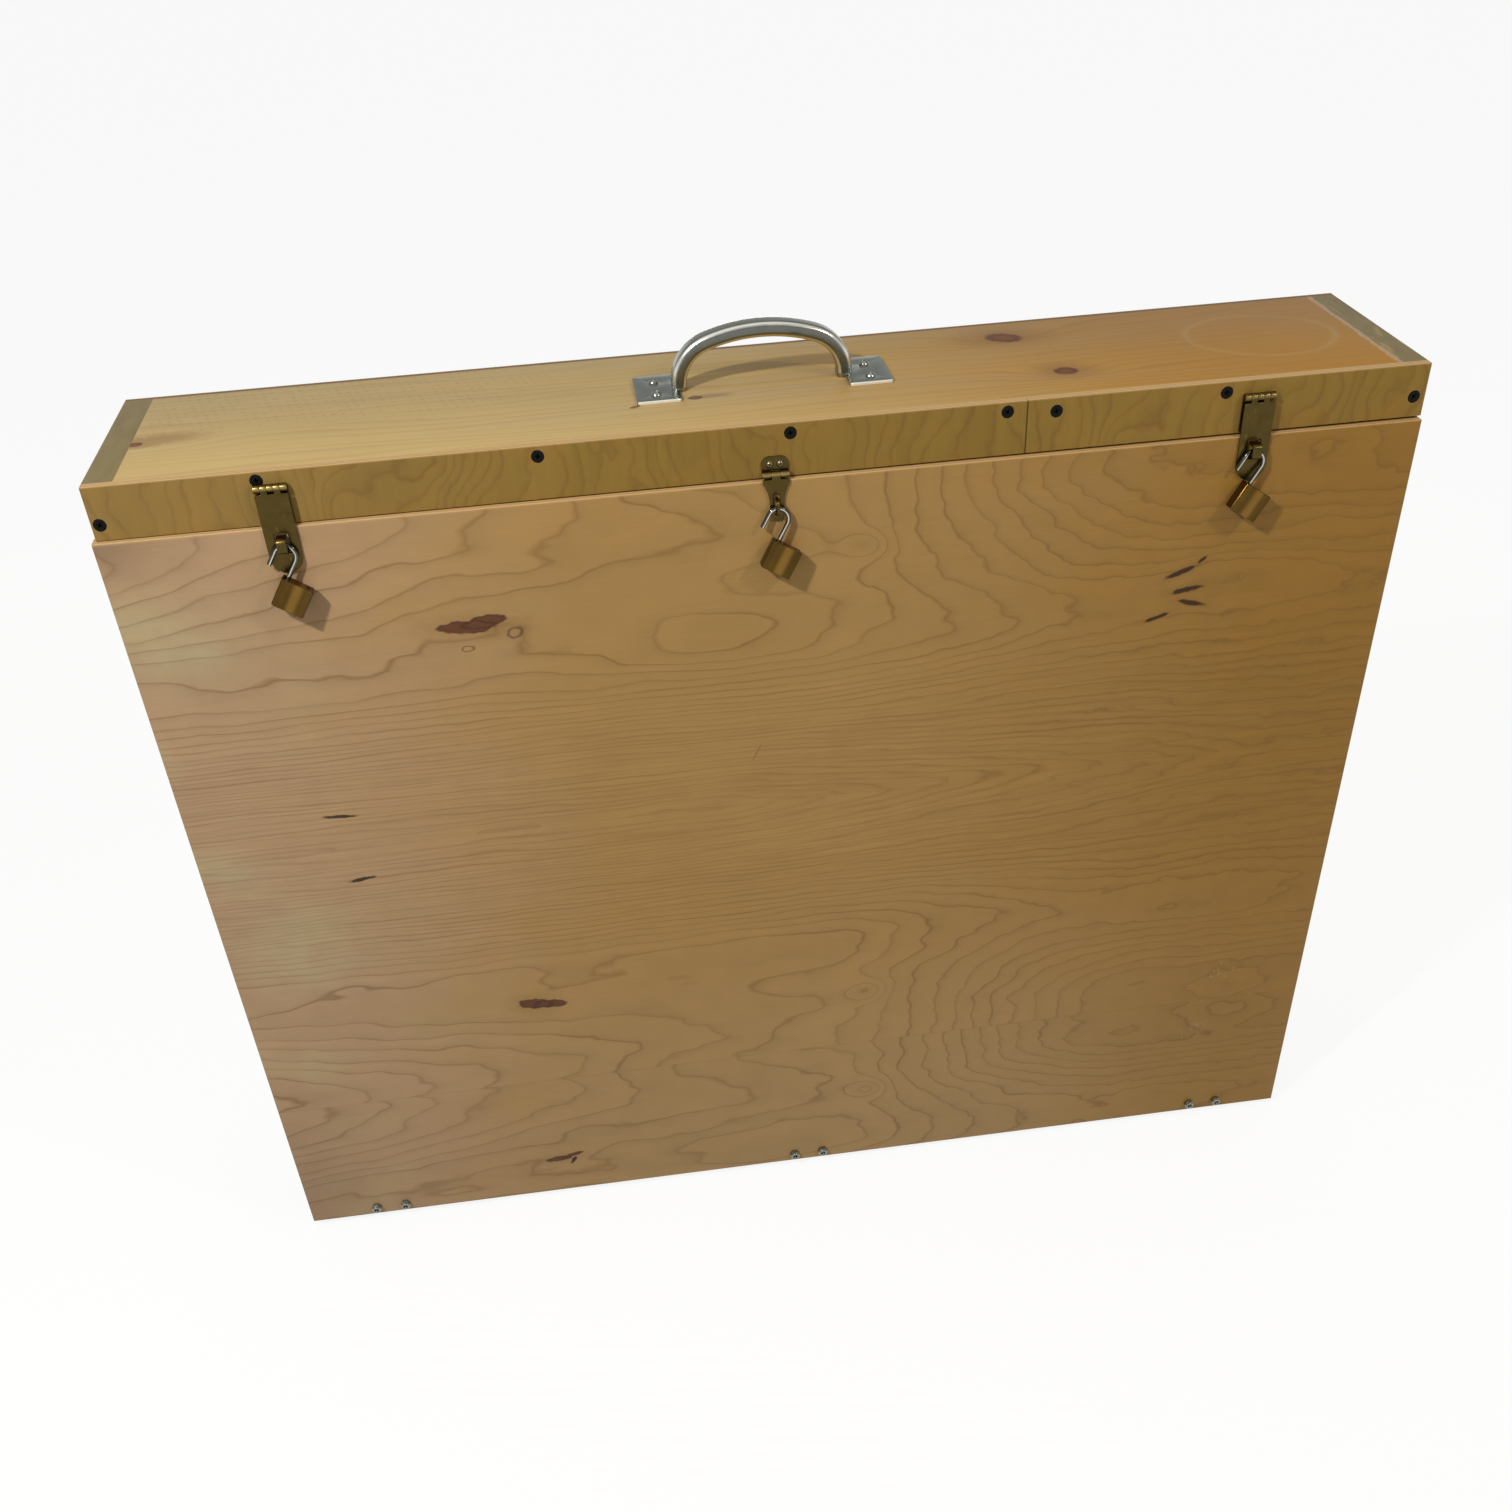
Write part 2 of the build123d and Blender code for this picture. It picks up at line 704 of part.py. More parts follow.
# Hasps: a leaf on the strip, a pin, a strap that swings up, and a staple on the door
staples = {}
for hasp in hasps:
    size = hasp.size
    pin_y = pin_y_of(size)
    outer_spans = knuckle_spans(hasp.x, size.width, size.knuckles, 0)
    inner_spans = knuckle_spans(hasp.x, size.width, size.knuckles, 1)
    leaf_faces = (strip_front - size.leaf_thickness, strip_front)
    clear_drop = size.barrel_diameter / 2 + barrel_gap
    with BuildPart() as leaf:
        rings(pin_y, hasp.pin_z, size.barrel_diameter, size.pin_diameter + 2 * screw_gap, outer_spans)
        if size is long_hasp:
            for span in outer_spans:
                block(span, leaf_faces, (hasp.pin_z - clear_drop, hasp.pin_z))
            full = (hasp.x - size.width / 2, hasp.x + size.width / 2)
            block(full, leaf_faces, (hasp.pin_z - long_leaf_drop, hasp.pin_z - clear_drop))
            screw_holes(leaf_screw_planes, leaf_screw)
        else:
            for span in outer_spans:
                block(span, leaf_faces, (hasp.pin_z, hasp.pin_z + clear_drop))
            full = (hasp.x - small_plate_width / 2, hasp.x + small_plate_width / 2)
            block(full, leaf_faces, (hasp.pin_z + clear_drop, hasp.pin_z + small_plate_rise))
            crown = leaf.edges().filter_by(Axis.Y).group_by(Axis.Z)[-1]
            fillet(crown, small_plate_round)
            for place in plate_screw_planes:
                round_screw(place, plate_screw, gap=screw_gap, mode=Mode.SUBTRACT)
    save(leaf, f"{hasp.side}_hasp_leaf")

    with BuildPart() as pin:
        hinge_pin(hasp.x, pin_y, hasp.pin_z, size.pin_diameter, size.width)
    save(pin, f"{hasp.side}_hasp_pin")

    with BuildPart() as strap:
        rings(pin_y, hasp.pin_z, size.barrel_diameter, size.pin_diameter + 2 * running_gap, inner_spans)
        strap_faces = (strap_back - size.strap_thickness, strap_back)
        for span in inner_spans:
            block(span, strap_faces, (hasp.pin_z - clear_drop, hasp.pin_z))
        with BuildSketch(facing_front(hasp.x, strap_back, hasp.pin_z)):
            strap_outline(hasp)
        extrude(amount=size.strap_thickness)
    save(strap, f"{hasp.side}_hasp_strap")

    with BuildPart() as staple:
        staple_form(hasp)
    staples[hasp.side] = staple.part
    save(staple, f"{hasp.side}_hasp_staple")

# Door panel, cut for the hinges, the bolts and the legs of the staples
door_top_left = strip_bottom - door_top_gap_left
door_top_right = strip_bottom - door_top_gap_right
with BuildPart() as door_panel:
    with BuildSketch(facing_front(0, door_back, 0)):
        with BuildLine():
            Polyline(
                (door_left, door_bottom_gap),
                (door_right, door_bottom_gap),
                (door_right, door_top_right),
                (door_left, door_top_left),
                close=True,
            )
        make_face()
    extrude(amount=door_thickness)
    fillet(door_panel.faces().sort_by(Axis.Y)[0].edges(), door_round)
    for side, x in door_hinge_places:
        mortise = (x - hinge_length / 2 - mortise_gap, x + hinge_length / 2 + mortise_gap)
        leaf_top = hinge_pin_height + hinge_leaf_height + mortise_gap
        block(
            mortise, (door_back - hinge_leaf_thickness, door_back), (door_bottom_gap, leaf_top), Mode.SUBTRACT
        )
    for place in door_bolt_planes:
        flat_screw(place, door_bolt, gap=screw_gap, tip=bolt_tip, mode=Mode.SUBTRACT)
    for staple in staples.values():
        add(staple, mode=Mode.SUBTRACT)
save(door_panel, "door_panel")


def lock_plane(hasp):
    """The padlock's own plane: its origin is the centre of the bow, its Y runs up the legs."""
    inner_radius = shackle_span / 2 - shackle_diameter / 2 - shackle_bar_gap
    hang = sqrt(inner_radius**2 - (hasp.size.staple_width / 2) ** 2)
    rod_y = strap_back - hasp.size.strap_thickness - shackle_strap_gap - shackle_diameter / 2
    lean, tilt = radians(hasp.lock_lean), radians(lock_tilt)
    up = Vector(0, sin(tilt), cos(tilt))
    top_of_bow = Vector(hasp.x, rod_y, hasp.bar_top - hang + shackle_span / 2 * cos(tilt))
    return Plane(
        origin=top_of_bow - up * (shackle_span / 2),
        x_dir=Vector(1, 0, 0) * cos(lean) - up * sin(lean),
        z_dir=(0, -cos(tilt), sin(tilt)),
    )


# Padlocks: each hangs by its open bow, and its body hangs from the longer leg
leg_x = shackle_span / 2
tip_x = leg_x + shackle_span
body_top = shackle_diameter / 2 + leg_x - shackle_clear_height
body_bottom = body_top - lock_height
body_centre_x = leg_x + shackle_span / 2
leg_end = body_top - shackle_leg_inside
neck_radius = shackle_diameter / 2 - shackle_groove_depth
retainer_x = leg_x + neck_radius + retainer_diameter / 2 + running_gap
retainer_y = leg_end + shackle_collar + retainer_diameter / 2 + running_gap
hole_radius = shackle_diameter / 2 + shackle_hole_gap
latch_end_x = tip_x - hole_radius + latch_bite
latch_y = body_top - latch_drop


def disc(plane, x, y, radius, amount, mode=Mode.ADD):
    """A round bar or hole that starts on a plane, at its own X and Y."""
    with BuildSketch(plane) as circle:
        with Locations((x, y)):
            Circle(radius)
    extrude(circle.sketch, amount=amount, mode=mode)


for hasp in hasps:
    plane = lock_plane(hasp)
    across = Plane(origin=plane.origin, x_dir=plane.x_dir, z_dir=plane.y_dir)
    endwise = Plane(origin=plane.origin, x_dir=plane.y_dir, z_dir=plane.x_dir)
    top, bottom = across.offset(body_top), across.offset(body_bottom)
    back = plane.offset(-lock_thickness / 2)

    with BuildPart() as shackle:
        with BuildLine(plane) as bow_line:
            Line((-leg_x, shackle_tip_gap + body_top), (-leg_x, 0))
            ThreePointArc((-leg_x, 0), (0, leg_x), (leg_x, 0))
            Line((leg_x, 0), (leg_x, leg_end))
        with BuildSketch(Plane(origin=bow_line.wire() @ 0, z_dir=bow_line.wire() % 0)):
            Circle(shackle_diameter / 2)
        sweep(path=bow_line.wire())
        with BuildSketch(across.offset(leg_end + shackle_collar)):
            with Locations((leg_x, 0)):
                Circle(shackle_diameter / 2)
                Circle(neck_radius, mode=Mode.SUBTRACT)
        extrude(amount=shackle_leg_inside - 2 * shackle_collar, mode=Mode.SUBTRACT)
    save(shackle, f"{hasp.side}_shackle")

    with BuildPart() as padlock_body:
        with BuildSketch(bottom):
            with Locations((body_centre_x, 0)):
                RectangleRounded(lock_width, lock_thickness, lock_edge_round)
        extrude(amount=lock_height)
        ends = padlock_body.faces().sort_by(Axis(plane.origin, plane.y_dir))
        chamfer(ends[0].edges() + ends[-1].edges(), lock_end_round)
        disc(top, leg_x, 0, hole_radius, -leg_hole_depth, Mode.SUBTRACT)
        disc(top, tip_x, 0, hole_radius, -tip_hole_depth, Mode.SUBTRACT)
        disc(bottom, body_centre_x, 0, plug_diameter / 2 + running_gap, plug_length, Mode.SUBTRACT)
        disc(back, retainer_x, retainer_y, retainer_diameter / 2, lock_thickness, Mode.SUBTRACT)
        disc(
            endwise.offset(latch_end_x - latch_bite - latch_length),
            latch_y,
            0,
            latch_diameter / 2 + running_gap,
            latch_length + latch_bite,
            Mode.SUBTRACT,
        )
    save(padlock_body, f"{hasp.side}_padlock_body")

    with BuildPart() as retainer:
        disc(back, retainer_x, retainer_y, retainer_diameter / 2, lock_thickness)
    save(retainer, f"{hasp.side}_shackle_retainer")

    with BuildPart() as latch:
        disc(
            endwise.offset(latch_end_x - latch_length), latch_y, 0, latch_diameter / 2, latch_length
        )
    save(latch, f"{hasp.side}_padlock_latch")

    with BuildPart() as key_plug:
        disc(bottom, body_centre_x, 0, plug_diameter / 2, plug_length)
        with BuildSketch(bottom):
            with Locations((body_centre_x, 0)):
                Rectangle(keyway_height, keyway_width)
        extrude(amount=keyway_depth, mode=Mode.SUBTRACT)
    save(key_plug, f"{hasp.side}_padlock_plug")
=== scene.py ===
import json
from collections import namedtuple
from functools import reduce
from math import cos, pi, radians, sin, sqrt

import bmesh
import bpy
from bpy.props import FloatProperty, FloatVectorProperty, IntProperty, PointerProperty
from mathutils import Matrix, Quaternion, Vector


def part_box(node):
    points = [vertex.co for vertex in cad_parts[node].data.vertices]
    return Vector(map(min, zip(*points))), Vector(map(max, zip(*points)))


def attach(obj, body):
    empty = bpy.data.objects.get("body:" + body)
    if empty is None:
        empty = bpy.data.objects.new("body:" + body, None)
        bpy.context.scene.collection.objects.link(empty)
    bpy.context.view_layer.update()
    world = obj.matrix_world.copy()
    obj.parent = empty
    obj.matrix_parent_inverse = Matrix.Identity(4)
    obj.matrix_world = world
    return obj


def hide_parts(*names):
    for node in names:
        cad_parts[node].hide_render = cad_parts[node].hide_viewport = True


bl_info = {
    "name": "Wooden art box",
    "version": (1, 0, 0),
    "blender": (4, 5, 0),
    "location": "3D View > Sidebar > Art box",
    "description": "Finishes and small hardware of a wooden art box",
    "category": "Object",
}

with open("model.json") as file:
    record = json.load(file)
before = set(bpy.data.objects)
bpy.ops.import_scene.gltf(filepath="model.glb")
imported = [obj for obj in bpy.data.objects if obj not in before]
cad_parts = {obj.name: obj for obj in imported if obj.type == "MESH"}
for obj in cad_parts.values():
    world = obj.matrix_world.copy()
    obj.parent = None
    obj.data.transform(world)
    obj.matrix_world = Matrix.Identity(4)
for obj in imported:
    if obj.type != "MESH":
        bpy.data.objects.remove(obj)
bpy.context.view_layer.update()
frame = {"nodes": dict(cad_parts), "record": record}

SIDES = ("left", "middle", "right")
MM = 0.001
MERGE_DISTANCE = 0.002 * MM
SHARP_ANGLE = radians(28)
SMOOTH_ANGLE = radians(32)

# The angle, in degrees, up to which two faces are made one before edges are rounded
FLAT_BEND = 1.0
FINE_BEND = 0.1

DOOR_PLIES = 7
STRIP_PLIES = 5
BACK_PLIES = 3
LACQUER = {"coat_weight": 0.03, "coat_roughness": 0.35, "specular_ior_level": 0.2}
NOISE_REACH = 1.3


def srgb(red, green, blue):
    """A colour as it is seen on a screen, turned into the linear values that materials use."""
    return tuple(
        (c / 255 / 12.92) if c <= 10 else ((c / 255 + 0.055) / 1.055) ** 2.4 for c in (red, green, blue)
    )


def colour_setting(name, description, red, green, blue):
    return FloatVectorProperty(
        name=name,
        description=description,
        default=srgb(red, green, blue),
        size=3,
        min=0,
        max=1,
        subtype="COLOR",
    )


def length_setting(name, description, default):
    return FloatProperty(name=name, description=description, default=default, min=0, unit="LENGTH")


def power_setting(name, description, default):
    return FloatProperty(name=name, description=description, default=default, min=0, unit="POWER")


class WoodSettings(bpy.types.PropertyGroup):
    """Colours of the birch plywood and the pine boards."""

    birch_left: colour_setting("Birch, left", "Pale rosy birch at the door's left edge", 170, 143, 106)
    birch_middle: colour_setting("Birch, middle", "Birch in the middle of the door", 158, 124, 72)
    birch_right: colour_setting("Birch, right", "Golden birch at the door's right edge", 141, 104, 42)
    birch_line: colour_setting("Birch lines", "Late wood lines in the birch", 112, 78, 36)
    birch_sap: colour_setting("Birch sapwood", "Pale greenish streaks at the left edge", 170, 160, 124)
    birch_rose: colour_setting("Birch rose", "Rosy patches near the left edge", 166, 133, 104)
    strip_tone: colour_setting("Strip", "Birch of the strip across the top", 134, 106, 46)
    ply_dark: colour_setting("Plies, dark", "End grain plies of the plywood", 132, 100, 58)
    ply_light: colour_setting("Plies, light", "Long grain plies of the plywood", 188, 154, 106)
    pine_left: colour_setting("Pine, left", "Pine at the left of the top board", 168, 144, 94)
    pine_right: colour_setting("Pine, right", "Pine at the right of the top board", 152, 109, 38)
    pine_line: colour_setting("Pine lines", "Late wood lines in the pine", 124, 90, 46)
    end_grain: colour_setting("End grain", "Weathered end grain of the side boards", 118, 104, 68)
    knot: colour_setting("Knots", "Hard reddish knots", 84, 44, 24)
    split: colour_setting("Splits", "Dark splits and bark pockets", 42, 25, 13)
    filler: colour_setting("Filler", "Pinkish filler in the right joint", 200, 174, 150)


class MetalSettings(bpy.types.PropertyGroup):
    """Colours of the metal parts."""

    zinc: colour_setting("Zinc", "Bright zinc of the handle and nuts", 147, 151, 142)
    dark_brass: colour_setting("Aged brass", "Dark olive brass of the hasps", 84, 70, 36)
    # This brass is both the hasps' real wear and the painted highlight on the front of their barrels
    wear_and_highlight_brass: colour_setting("Worn brass", "Brass where the hasps are rubbed", 186, 160, 100)
    lock_brass: colour_setting("Lock brass", "Satin brass of the padlocks", 104, 79, 36)
    # A painted highlight colour, for the bright line on the handle's grip, the plates' front edge and the
    # shackles
    highlight_steel: colour_setting("Rubbed steel", "Steel and zinc rubbed bright", 228, 225, 214)
    brass_screw: colour_setting("Brass screws", "Dull brass of the hasps' screws", 120, 108, 78)
    shackle: colour_setting("Shackle", "Bright steel of the shackles", 84, 82, 75)
    black: colour_setting("Black screws", "Black finish of the strip's screws", 9, 8, 7)
    nylon: colour_setting("Nylon", "Inserts of the lock nuts", 150, 152, 146)


class ShapeSettings(bpy.types.PropertyGroup):
    """Sizes of the worn edges and of the screw heads."""

    board_round: length_setting("Board edges", "How far the boards' edges are worn round", 0.42 * MM)
    handle_round: length_setting("Handle edges", "Edge round on the carrying handle", 0.7 * MM)
    metal_round: length_setting("Metal edges", "Edge round on thick metal parts", 0.35 * MM)
    sheet_round: length_setting("Sheet edges", "Edge round on sheet metal", 0.22 * MM)
    recess_width: length_setting("Recess arm", "Width of an arm of the cross recess", 0.85 * MM)
    round_steps: IntProperty(name="Round steps", description="Facets across a rounded edge", default=3, min=1)
    turn_seed: IntProperty(name="Turn seed", description="Seed of the screws' last angles", default=4)


class StageSettings(bpy.types.PropertyGroup):
    """Floor, lamps and camera."""

    floor_tone: colour_setting("Floor", "Pale floor as it is lit", 178, 178, 176)
    backdrop: colour_setting("Backdrop", "Nearly white ground behind the box", 254, 254, 254)
    left_power: power_setting("Left lamp", "Power of the left lamp", 18)
    right_power: power_setting("Right lamp", "Power of the right lamp", 6)
    back_power: power_setting("Back lamp", "Power of the lamp behind", 6)
    sky_level: FloatProperty(name="Sky", description="Strength of the light from above", default=0.66)
    wall_level: FloatProperty(name="Walls", description="Strength of the light from the sides", default=0.14)
    lens: FloatProperty(name="Lens", description="Focal length", default=37.21, unit="CAMERA")


SETTINGS = {
    "artbox_wood": WoodSettings,
    "artbox_metal": MetalSettings,
    "artbox_shape": ShapeSettings,
    "artbox_stage": StageSettings,
}


class Value:
    """One output of a shader node. Operators on it add Math nodes to the same tree."""

    def __init__(self, shader, socket):
        self.shader = shader
        self.socket = socket

    def maths(self, operation, *others):
        return self.shader.node("ShaderNodeMath", {"operation": operation}, (self, *others))

    def __add__(self, other):
        return self.maths("ADD", other)

    def __sub__(self, other):
        return self.maths("SUBTRACT", other)

    def __rsub__(self, other):
        return self.maths("MULTIPLY", -1.0).maths("ADD", other)

    def __mul__(self, other):
        return self.maths("MULTIPLY", other)

    def __truediv__(self, other):
        return self.maths("DIVIDE", other)

    def __pow__(self, other):
        return self.maths("POWER", other)

    def __neg__(self):
        return self.maths("MULTIPLY", -1.0)

    def __abs__(self):
        return self.maths("ABSOLUTE")

    __radd__ = __add__
    __rmul__ = __mul__

    def fraction(self):
        return self.maths("FRACT")

    def floor(self):
        return self.maths("FLOOR")

    def root(self):
        return self.maths("SQRT")

    def exponent(self):
        return self.maths("EXPONENT")

    def over(self, limit):
        return self.maths("GREATER_THAN", limit)

    def least(self, other):
        return self.maths("MINIMUM", other)

    def most(self, other):
        return self.maths("MAXIMUM", other)

    def smooth(self, low, high):
        """0 below the low value, 1 above the high value and a smooth step between."""
        return self.shader.node(
            "ShaderNodeMapRange",
            {"interpolation_type": "SMOOTHSTEP"},
            {"Value": self, "From Min": low, "From Max": high},
        )


class Shader:
    """The node tree of a new material, or of a world, built up by short calls."""

    def __init__(self, name, world=None):
        self.owner = world or bpy.data.materials.new(name)
        self.owner.use_nodes = True
        self.tree = self.owner.node_tree
        self.tree.nodes.clear()

    def node(self, kind, settings=None, values=(), output=0):
        """A node with its settings made first, then its sockets, by place or by name."""
        node = self.tree.nodes.new(kind)
        for key, setting in (settings or {}).items():
            setattr(node, key, setting)
        pairs = values.items() if isinstance(values, dict) else enumerate(values)
        for key, value in pairs:
            if isinstance(value, Value):
                self.tree.links.new(value.socket, node.inputs[key])
            else:
                socket = node.inputs[key]
                socket.default_value = (*value, 1.0) if socket.type == "RGBA" else value
        return Value(self, node.outputs[output]) if node.outputs else None

    def split(self, vector):
        """X, Y and Z of a vector."""
        first = self.node("ShaderNodeSeparateXYZ", None, (vector,))
        return [Value(self, output) for output in first.socket.node.outputs]

    def place(self):
        """X, Y and Z of the surface in millimetres."""
        here = self.node("ShaderNodeTexCoord", output="Object")
        return [axis * (1 / MM) for axis in self.split(here)]

    def noise(self, x, y, z=0.0, detail=1.0):
        """Smooth random values from about -1 to 1 that change over a distance of about 1."""
        field = self.node(
            "ShaderNodeTexNoise",
            {"noise_dimensions": "3D"},
            {
                "Vector": self.node("ShaderNodeCombineXYZ", None, (x, y, z)),
                "Scale": 1.0, "Detail": detail, "Roughness": 0.5,
            },
        )
        return field * (2 * NOISE_REACH) - NOISE_REACH

    def mix(self, first, second, share):
        """The first colour where share is 0 and the second where it is 1."""
        return self.node("ShaderNodeMix", {"data_type": "RGBA"}, {0: share, 6: first, 7: second}, 2)

    def layers(self, colour, *coats):
        """A colour with others laid over it, each by its own share."""
        for coat, share in coats:
            colour = self.mix(colour, coat, share)
        return colour

    def dim(self, colour, factor):
        """A colour multiplied by a number."""
        return self.node("ShaderNodeVectorMath", {"operation": "SCALE"}, {0: colour, "Scale": factor})

    def bump(self, height, distance):
        """A normal from a height of 0 to 1 and the real depth that it stands for."""
        return self.node("ShaderNodeBump", None, {"Height": height, "Distance": distance, "Strength": 1.0})

    def finish(self, **sockets):
        """The surface itself. Words of a socket's name are joined by underscores."""
        values = {key.replace("_", " ").title().replace("Ior", "IOR"): v for key, v in sockets.items()}
        surface = self.node("ShaderNodeBsdfPrincipled", None, values)
        self.node("ShaderNodeOutputMaterial", None, {"Surface": surface})
        return self.owner


Blot = namedtuple("Blot", "x z half_length half_height lean")
Hill = namedtuple("Hill", "x z half_length half_height rings")


def grown(blot, longer, higher, **changes):
    """A blot of other half sizes."""
    return blot._replace(
        half_length=blot.half_length * longer, half_height=blot.half_height * higher, **changes
    )


def corners(node):
    """The lowest and the highest corner of a CAD node, in millimetres."""
    return [Vector(corner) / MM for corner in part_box(node)]


# Dark places on the door, in millimetres on its face, with the lean in degrees
DOOR_KNOTS = (
    Blot(-202, 520, 17, 4.4, -3),
    Blot(-190, 522.5, 13, 4.0, 6),
    Blot(-200, 209, 12, 4.6, -8),
    Blot(-188, 207, 12, 3.6, -2),
    Blot(-203, 42.5, 11, 2.6, 4),
    Blot(-190, 45.5, 8.5, 1.9, 14),
)
DOOR_RINGS = (Blot(-172.3, 513, 4.6, 3.2, 14), Blot(-203, 505, 3.6, 1.8, 0))
DOOR_SPLITS = (
    Blot(-307, 391.5, 11, 1.3, -4),
    Blot(-303, 338.8, 9, 1.5, 9),
    Blot(262, 508, 10, 1.9, 20),
    Blot(267, 495, 10.5, 1.8, 8),
    Blot(272, 485, 9, 1.7, -14),
    Blot(249, 477, 9, 1.3, 18),
    Blot(275, 515, 3.5, 1.2, 35),
    Blot(-191, 39, 4, 1.6, 60),
)
DOOR_SAP = (Hill(-378, 524, 36, 26, 1.0), Hill(-358, 284, 44, 34, 1.0), Hill(-392, 358, 22, 16, 0.8))
DOOR_SCRATCH = Blot(-22.9, 406.4, 7.5, 0.5, 62)
DOOR_SCUFFS = (Blot(338, 159, 12, 9, 20), Blot(322, 100, 12, 9, -10))

# The door's face is three sheets of one peeled veneer, each a mirror image of the next
SHEET_JOINT = 365.0
SHEET_WIDTH = 235.0

# Rises of the peeled veneer, by their height above the joint, which close its lines into loops
DOOR_HILLS = (
    Hill(-28, 129, 92, 27, 1.55),
    Hill(5, 184, 66, 17, 0.8),
    Hill(53, 183, 15, 10, 2.2),
    Hill(-60, 232, 60, 12, -0.5),
    Hill(300, 140, 70, 18, 1.0),
    Hill(350, 222, 40, 16, 1.8),
)
STRIP_HILLS = (
    Hill(-262, 598, 17, 26, 2.2),
    Hill(-205, 628, 20, 22, -2.4),
    Hill(-178, 596, 16, 20, 1.8),
    Hill(-20, 630, 24, 24, 1.6),
    Hill(214, 600, 20, 22, 2.0),
    Hill(330, 626, 22, 20, -1.6),
    Hill(90, 600, 30, 18, 1.2),
)

# Knots on the top board, in millimetres on its face, and how its grain flows round them
TOP_KNOTS = (
    Blot(167.8, 41.5, 12.5, 8.6, -30),
    Blot(188.8, -31.0, 7.6, 6.4, -8),
    Blot(-385.8, -12.0, 4.6, 3.4, 0),
    Blot(-43.5, -18.8, 4.6, 3.2, 0),
    Blot(-81.5, -25.5, 3.6, 1.9, 25),
)
TOP_HILLS = (
    Hill(167, 41, 46, 18, 2.6),
    Hill(186, -30, 30, 14, 2.0),
    Hill(-378, -12, 34, 12, 2.2),
    Hill(-42, -19, 22, 8, 1.2),
)
TOP_SMEARS = (Blot(-371, -7, 24, 9, 3), Blot(-34, -18, 12, 3.5, 0))
CUP_RING = Blot(328, 3, 47, 40, -12)

# The rows of dashes that a toothed roller left: the rows' distance and the dashes' distance
ROLLER_ROW = 6.4
ROLLER_STEP = 5.8


def hills(x, z, places):
    """The rises that one piece of wood has, added up."""
    total = 0.0
    for hill in places:
        along, up = (x - hill.x) / hill.half_length, (z - hill.z) / hill.half_height
        total = (-(along * along + up * up)).exponent() * hill.rings + total
    return total


def distance_from(x, z, blot, ragged):
    """0 at the middle of a blot and 1 at its edge, which ragged moves in and out."""
    lean = radians(blot.lean)
    along, up = x - blot.x, z - blot.z
    forward = (along * cos(lean) + up * sin(lean)) / blot.half_length
    sideways = (up * cos(lean) - along * sin(lean)) / blot.half_height
    return (forward * forward + sideways * sideways).root() + ragged


def blots(x, z, places, ragged, softness):
    """1 inside any of the blots and 0 outside."""
    nearest = reduce(Value.least, [distance_from(x, z, blot, ragged) for blot in places])
    return 1 - nearest.smooth(1 - softness, 1 + softness)


def rings_of(x, z, places, ragged, width):
    """1 on the outlines of the blots and 0 elsewhere."""
    nearest = reduce(Value.least, [abs(distance_from(x, z, blot, ragged) - 1) for blot in places])
    return 1 - nearest.smooth(0, width)


def growth_lines(figure, width):
    """Thin lines where the figure passes a whole number, and a soft shade on one side of them."""
    phase = figure.fraction()
    line = 1 - phase.least(1 - phase).smooth(0, width)
    return line, phase ** 5


def plies(shader, wood, y, count, low, high, strength):
    """Light and dark bands by turns, and where they show: on a plywood sheet's edges, between its faces."""
    step = (y - low.y) / (high.y - low.y) * count
    band = (step * 0.5).fraction().smooth(0.46, 0.54)
    rim = (y - low.y).smooth(0.12, 0.4) * (high.y - y).smooth(0.02, 0.12)
    return shader.mix(wood.ply_light, wood.ply_dark, band), rim * strength


def door_figure(shader, x, z):
    """Rings of the peeled veneer, how tightly they lie, and the number of the sheet from the top."""
    height = SHEET_WIDTH - abs(abs(z - SHEET_JOINT) - SHEET_WIDTH)
    sheet = 2 - z.over(SHEET_JOINT) - z.over(SHEET_JOINT - SHEET_WIDTH)
    right = x.smooth(-60, 330)
    tight = 1 - height.smooth(40, 128)
    slope = (height.smooth(-20, 124) - 1) * (28 - right * 15)
    from_tongue = (height - 222) / 58
    tongues = (abs(x) - x) / 104 * (-(from_tongue * from_tongue)).exponent()
    fall = x.smooth(0, 265) * -11 * (height.smooth(130, 215) * 0.58 + 0.42)
    drift = shader.noise(x / 150, height / 45, sheet * 0.5 + 3.1, detail=1)
    spread = shader.noise(x / 190, height / 10, sheet * 0.8 + 1.2, detail=1) * tight
    wave = shader.noise(x / 48, height / 17, sheet * 0.9 + 7.7, detail=1.5)
    jag = shader.noise(x / 13, z / 9, 1.3, detail=1)
    figure = slope + tongues + fall + 0.45 + drift * 0.95 + spread * 0.8 + wave * 0.36
    figure = figure + jag * (right * 0.2 + 0.04)
    return figure + hills(x, height, DOOR_HILLS), tight, sheet


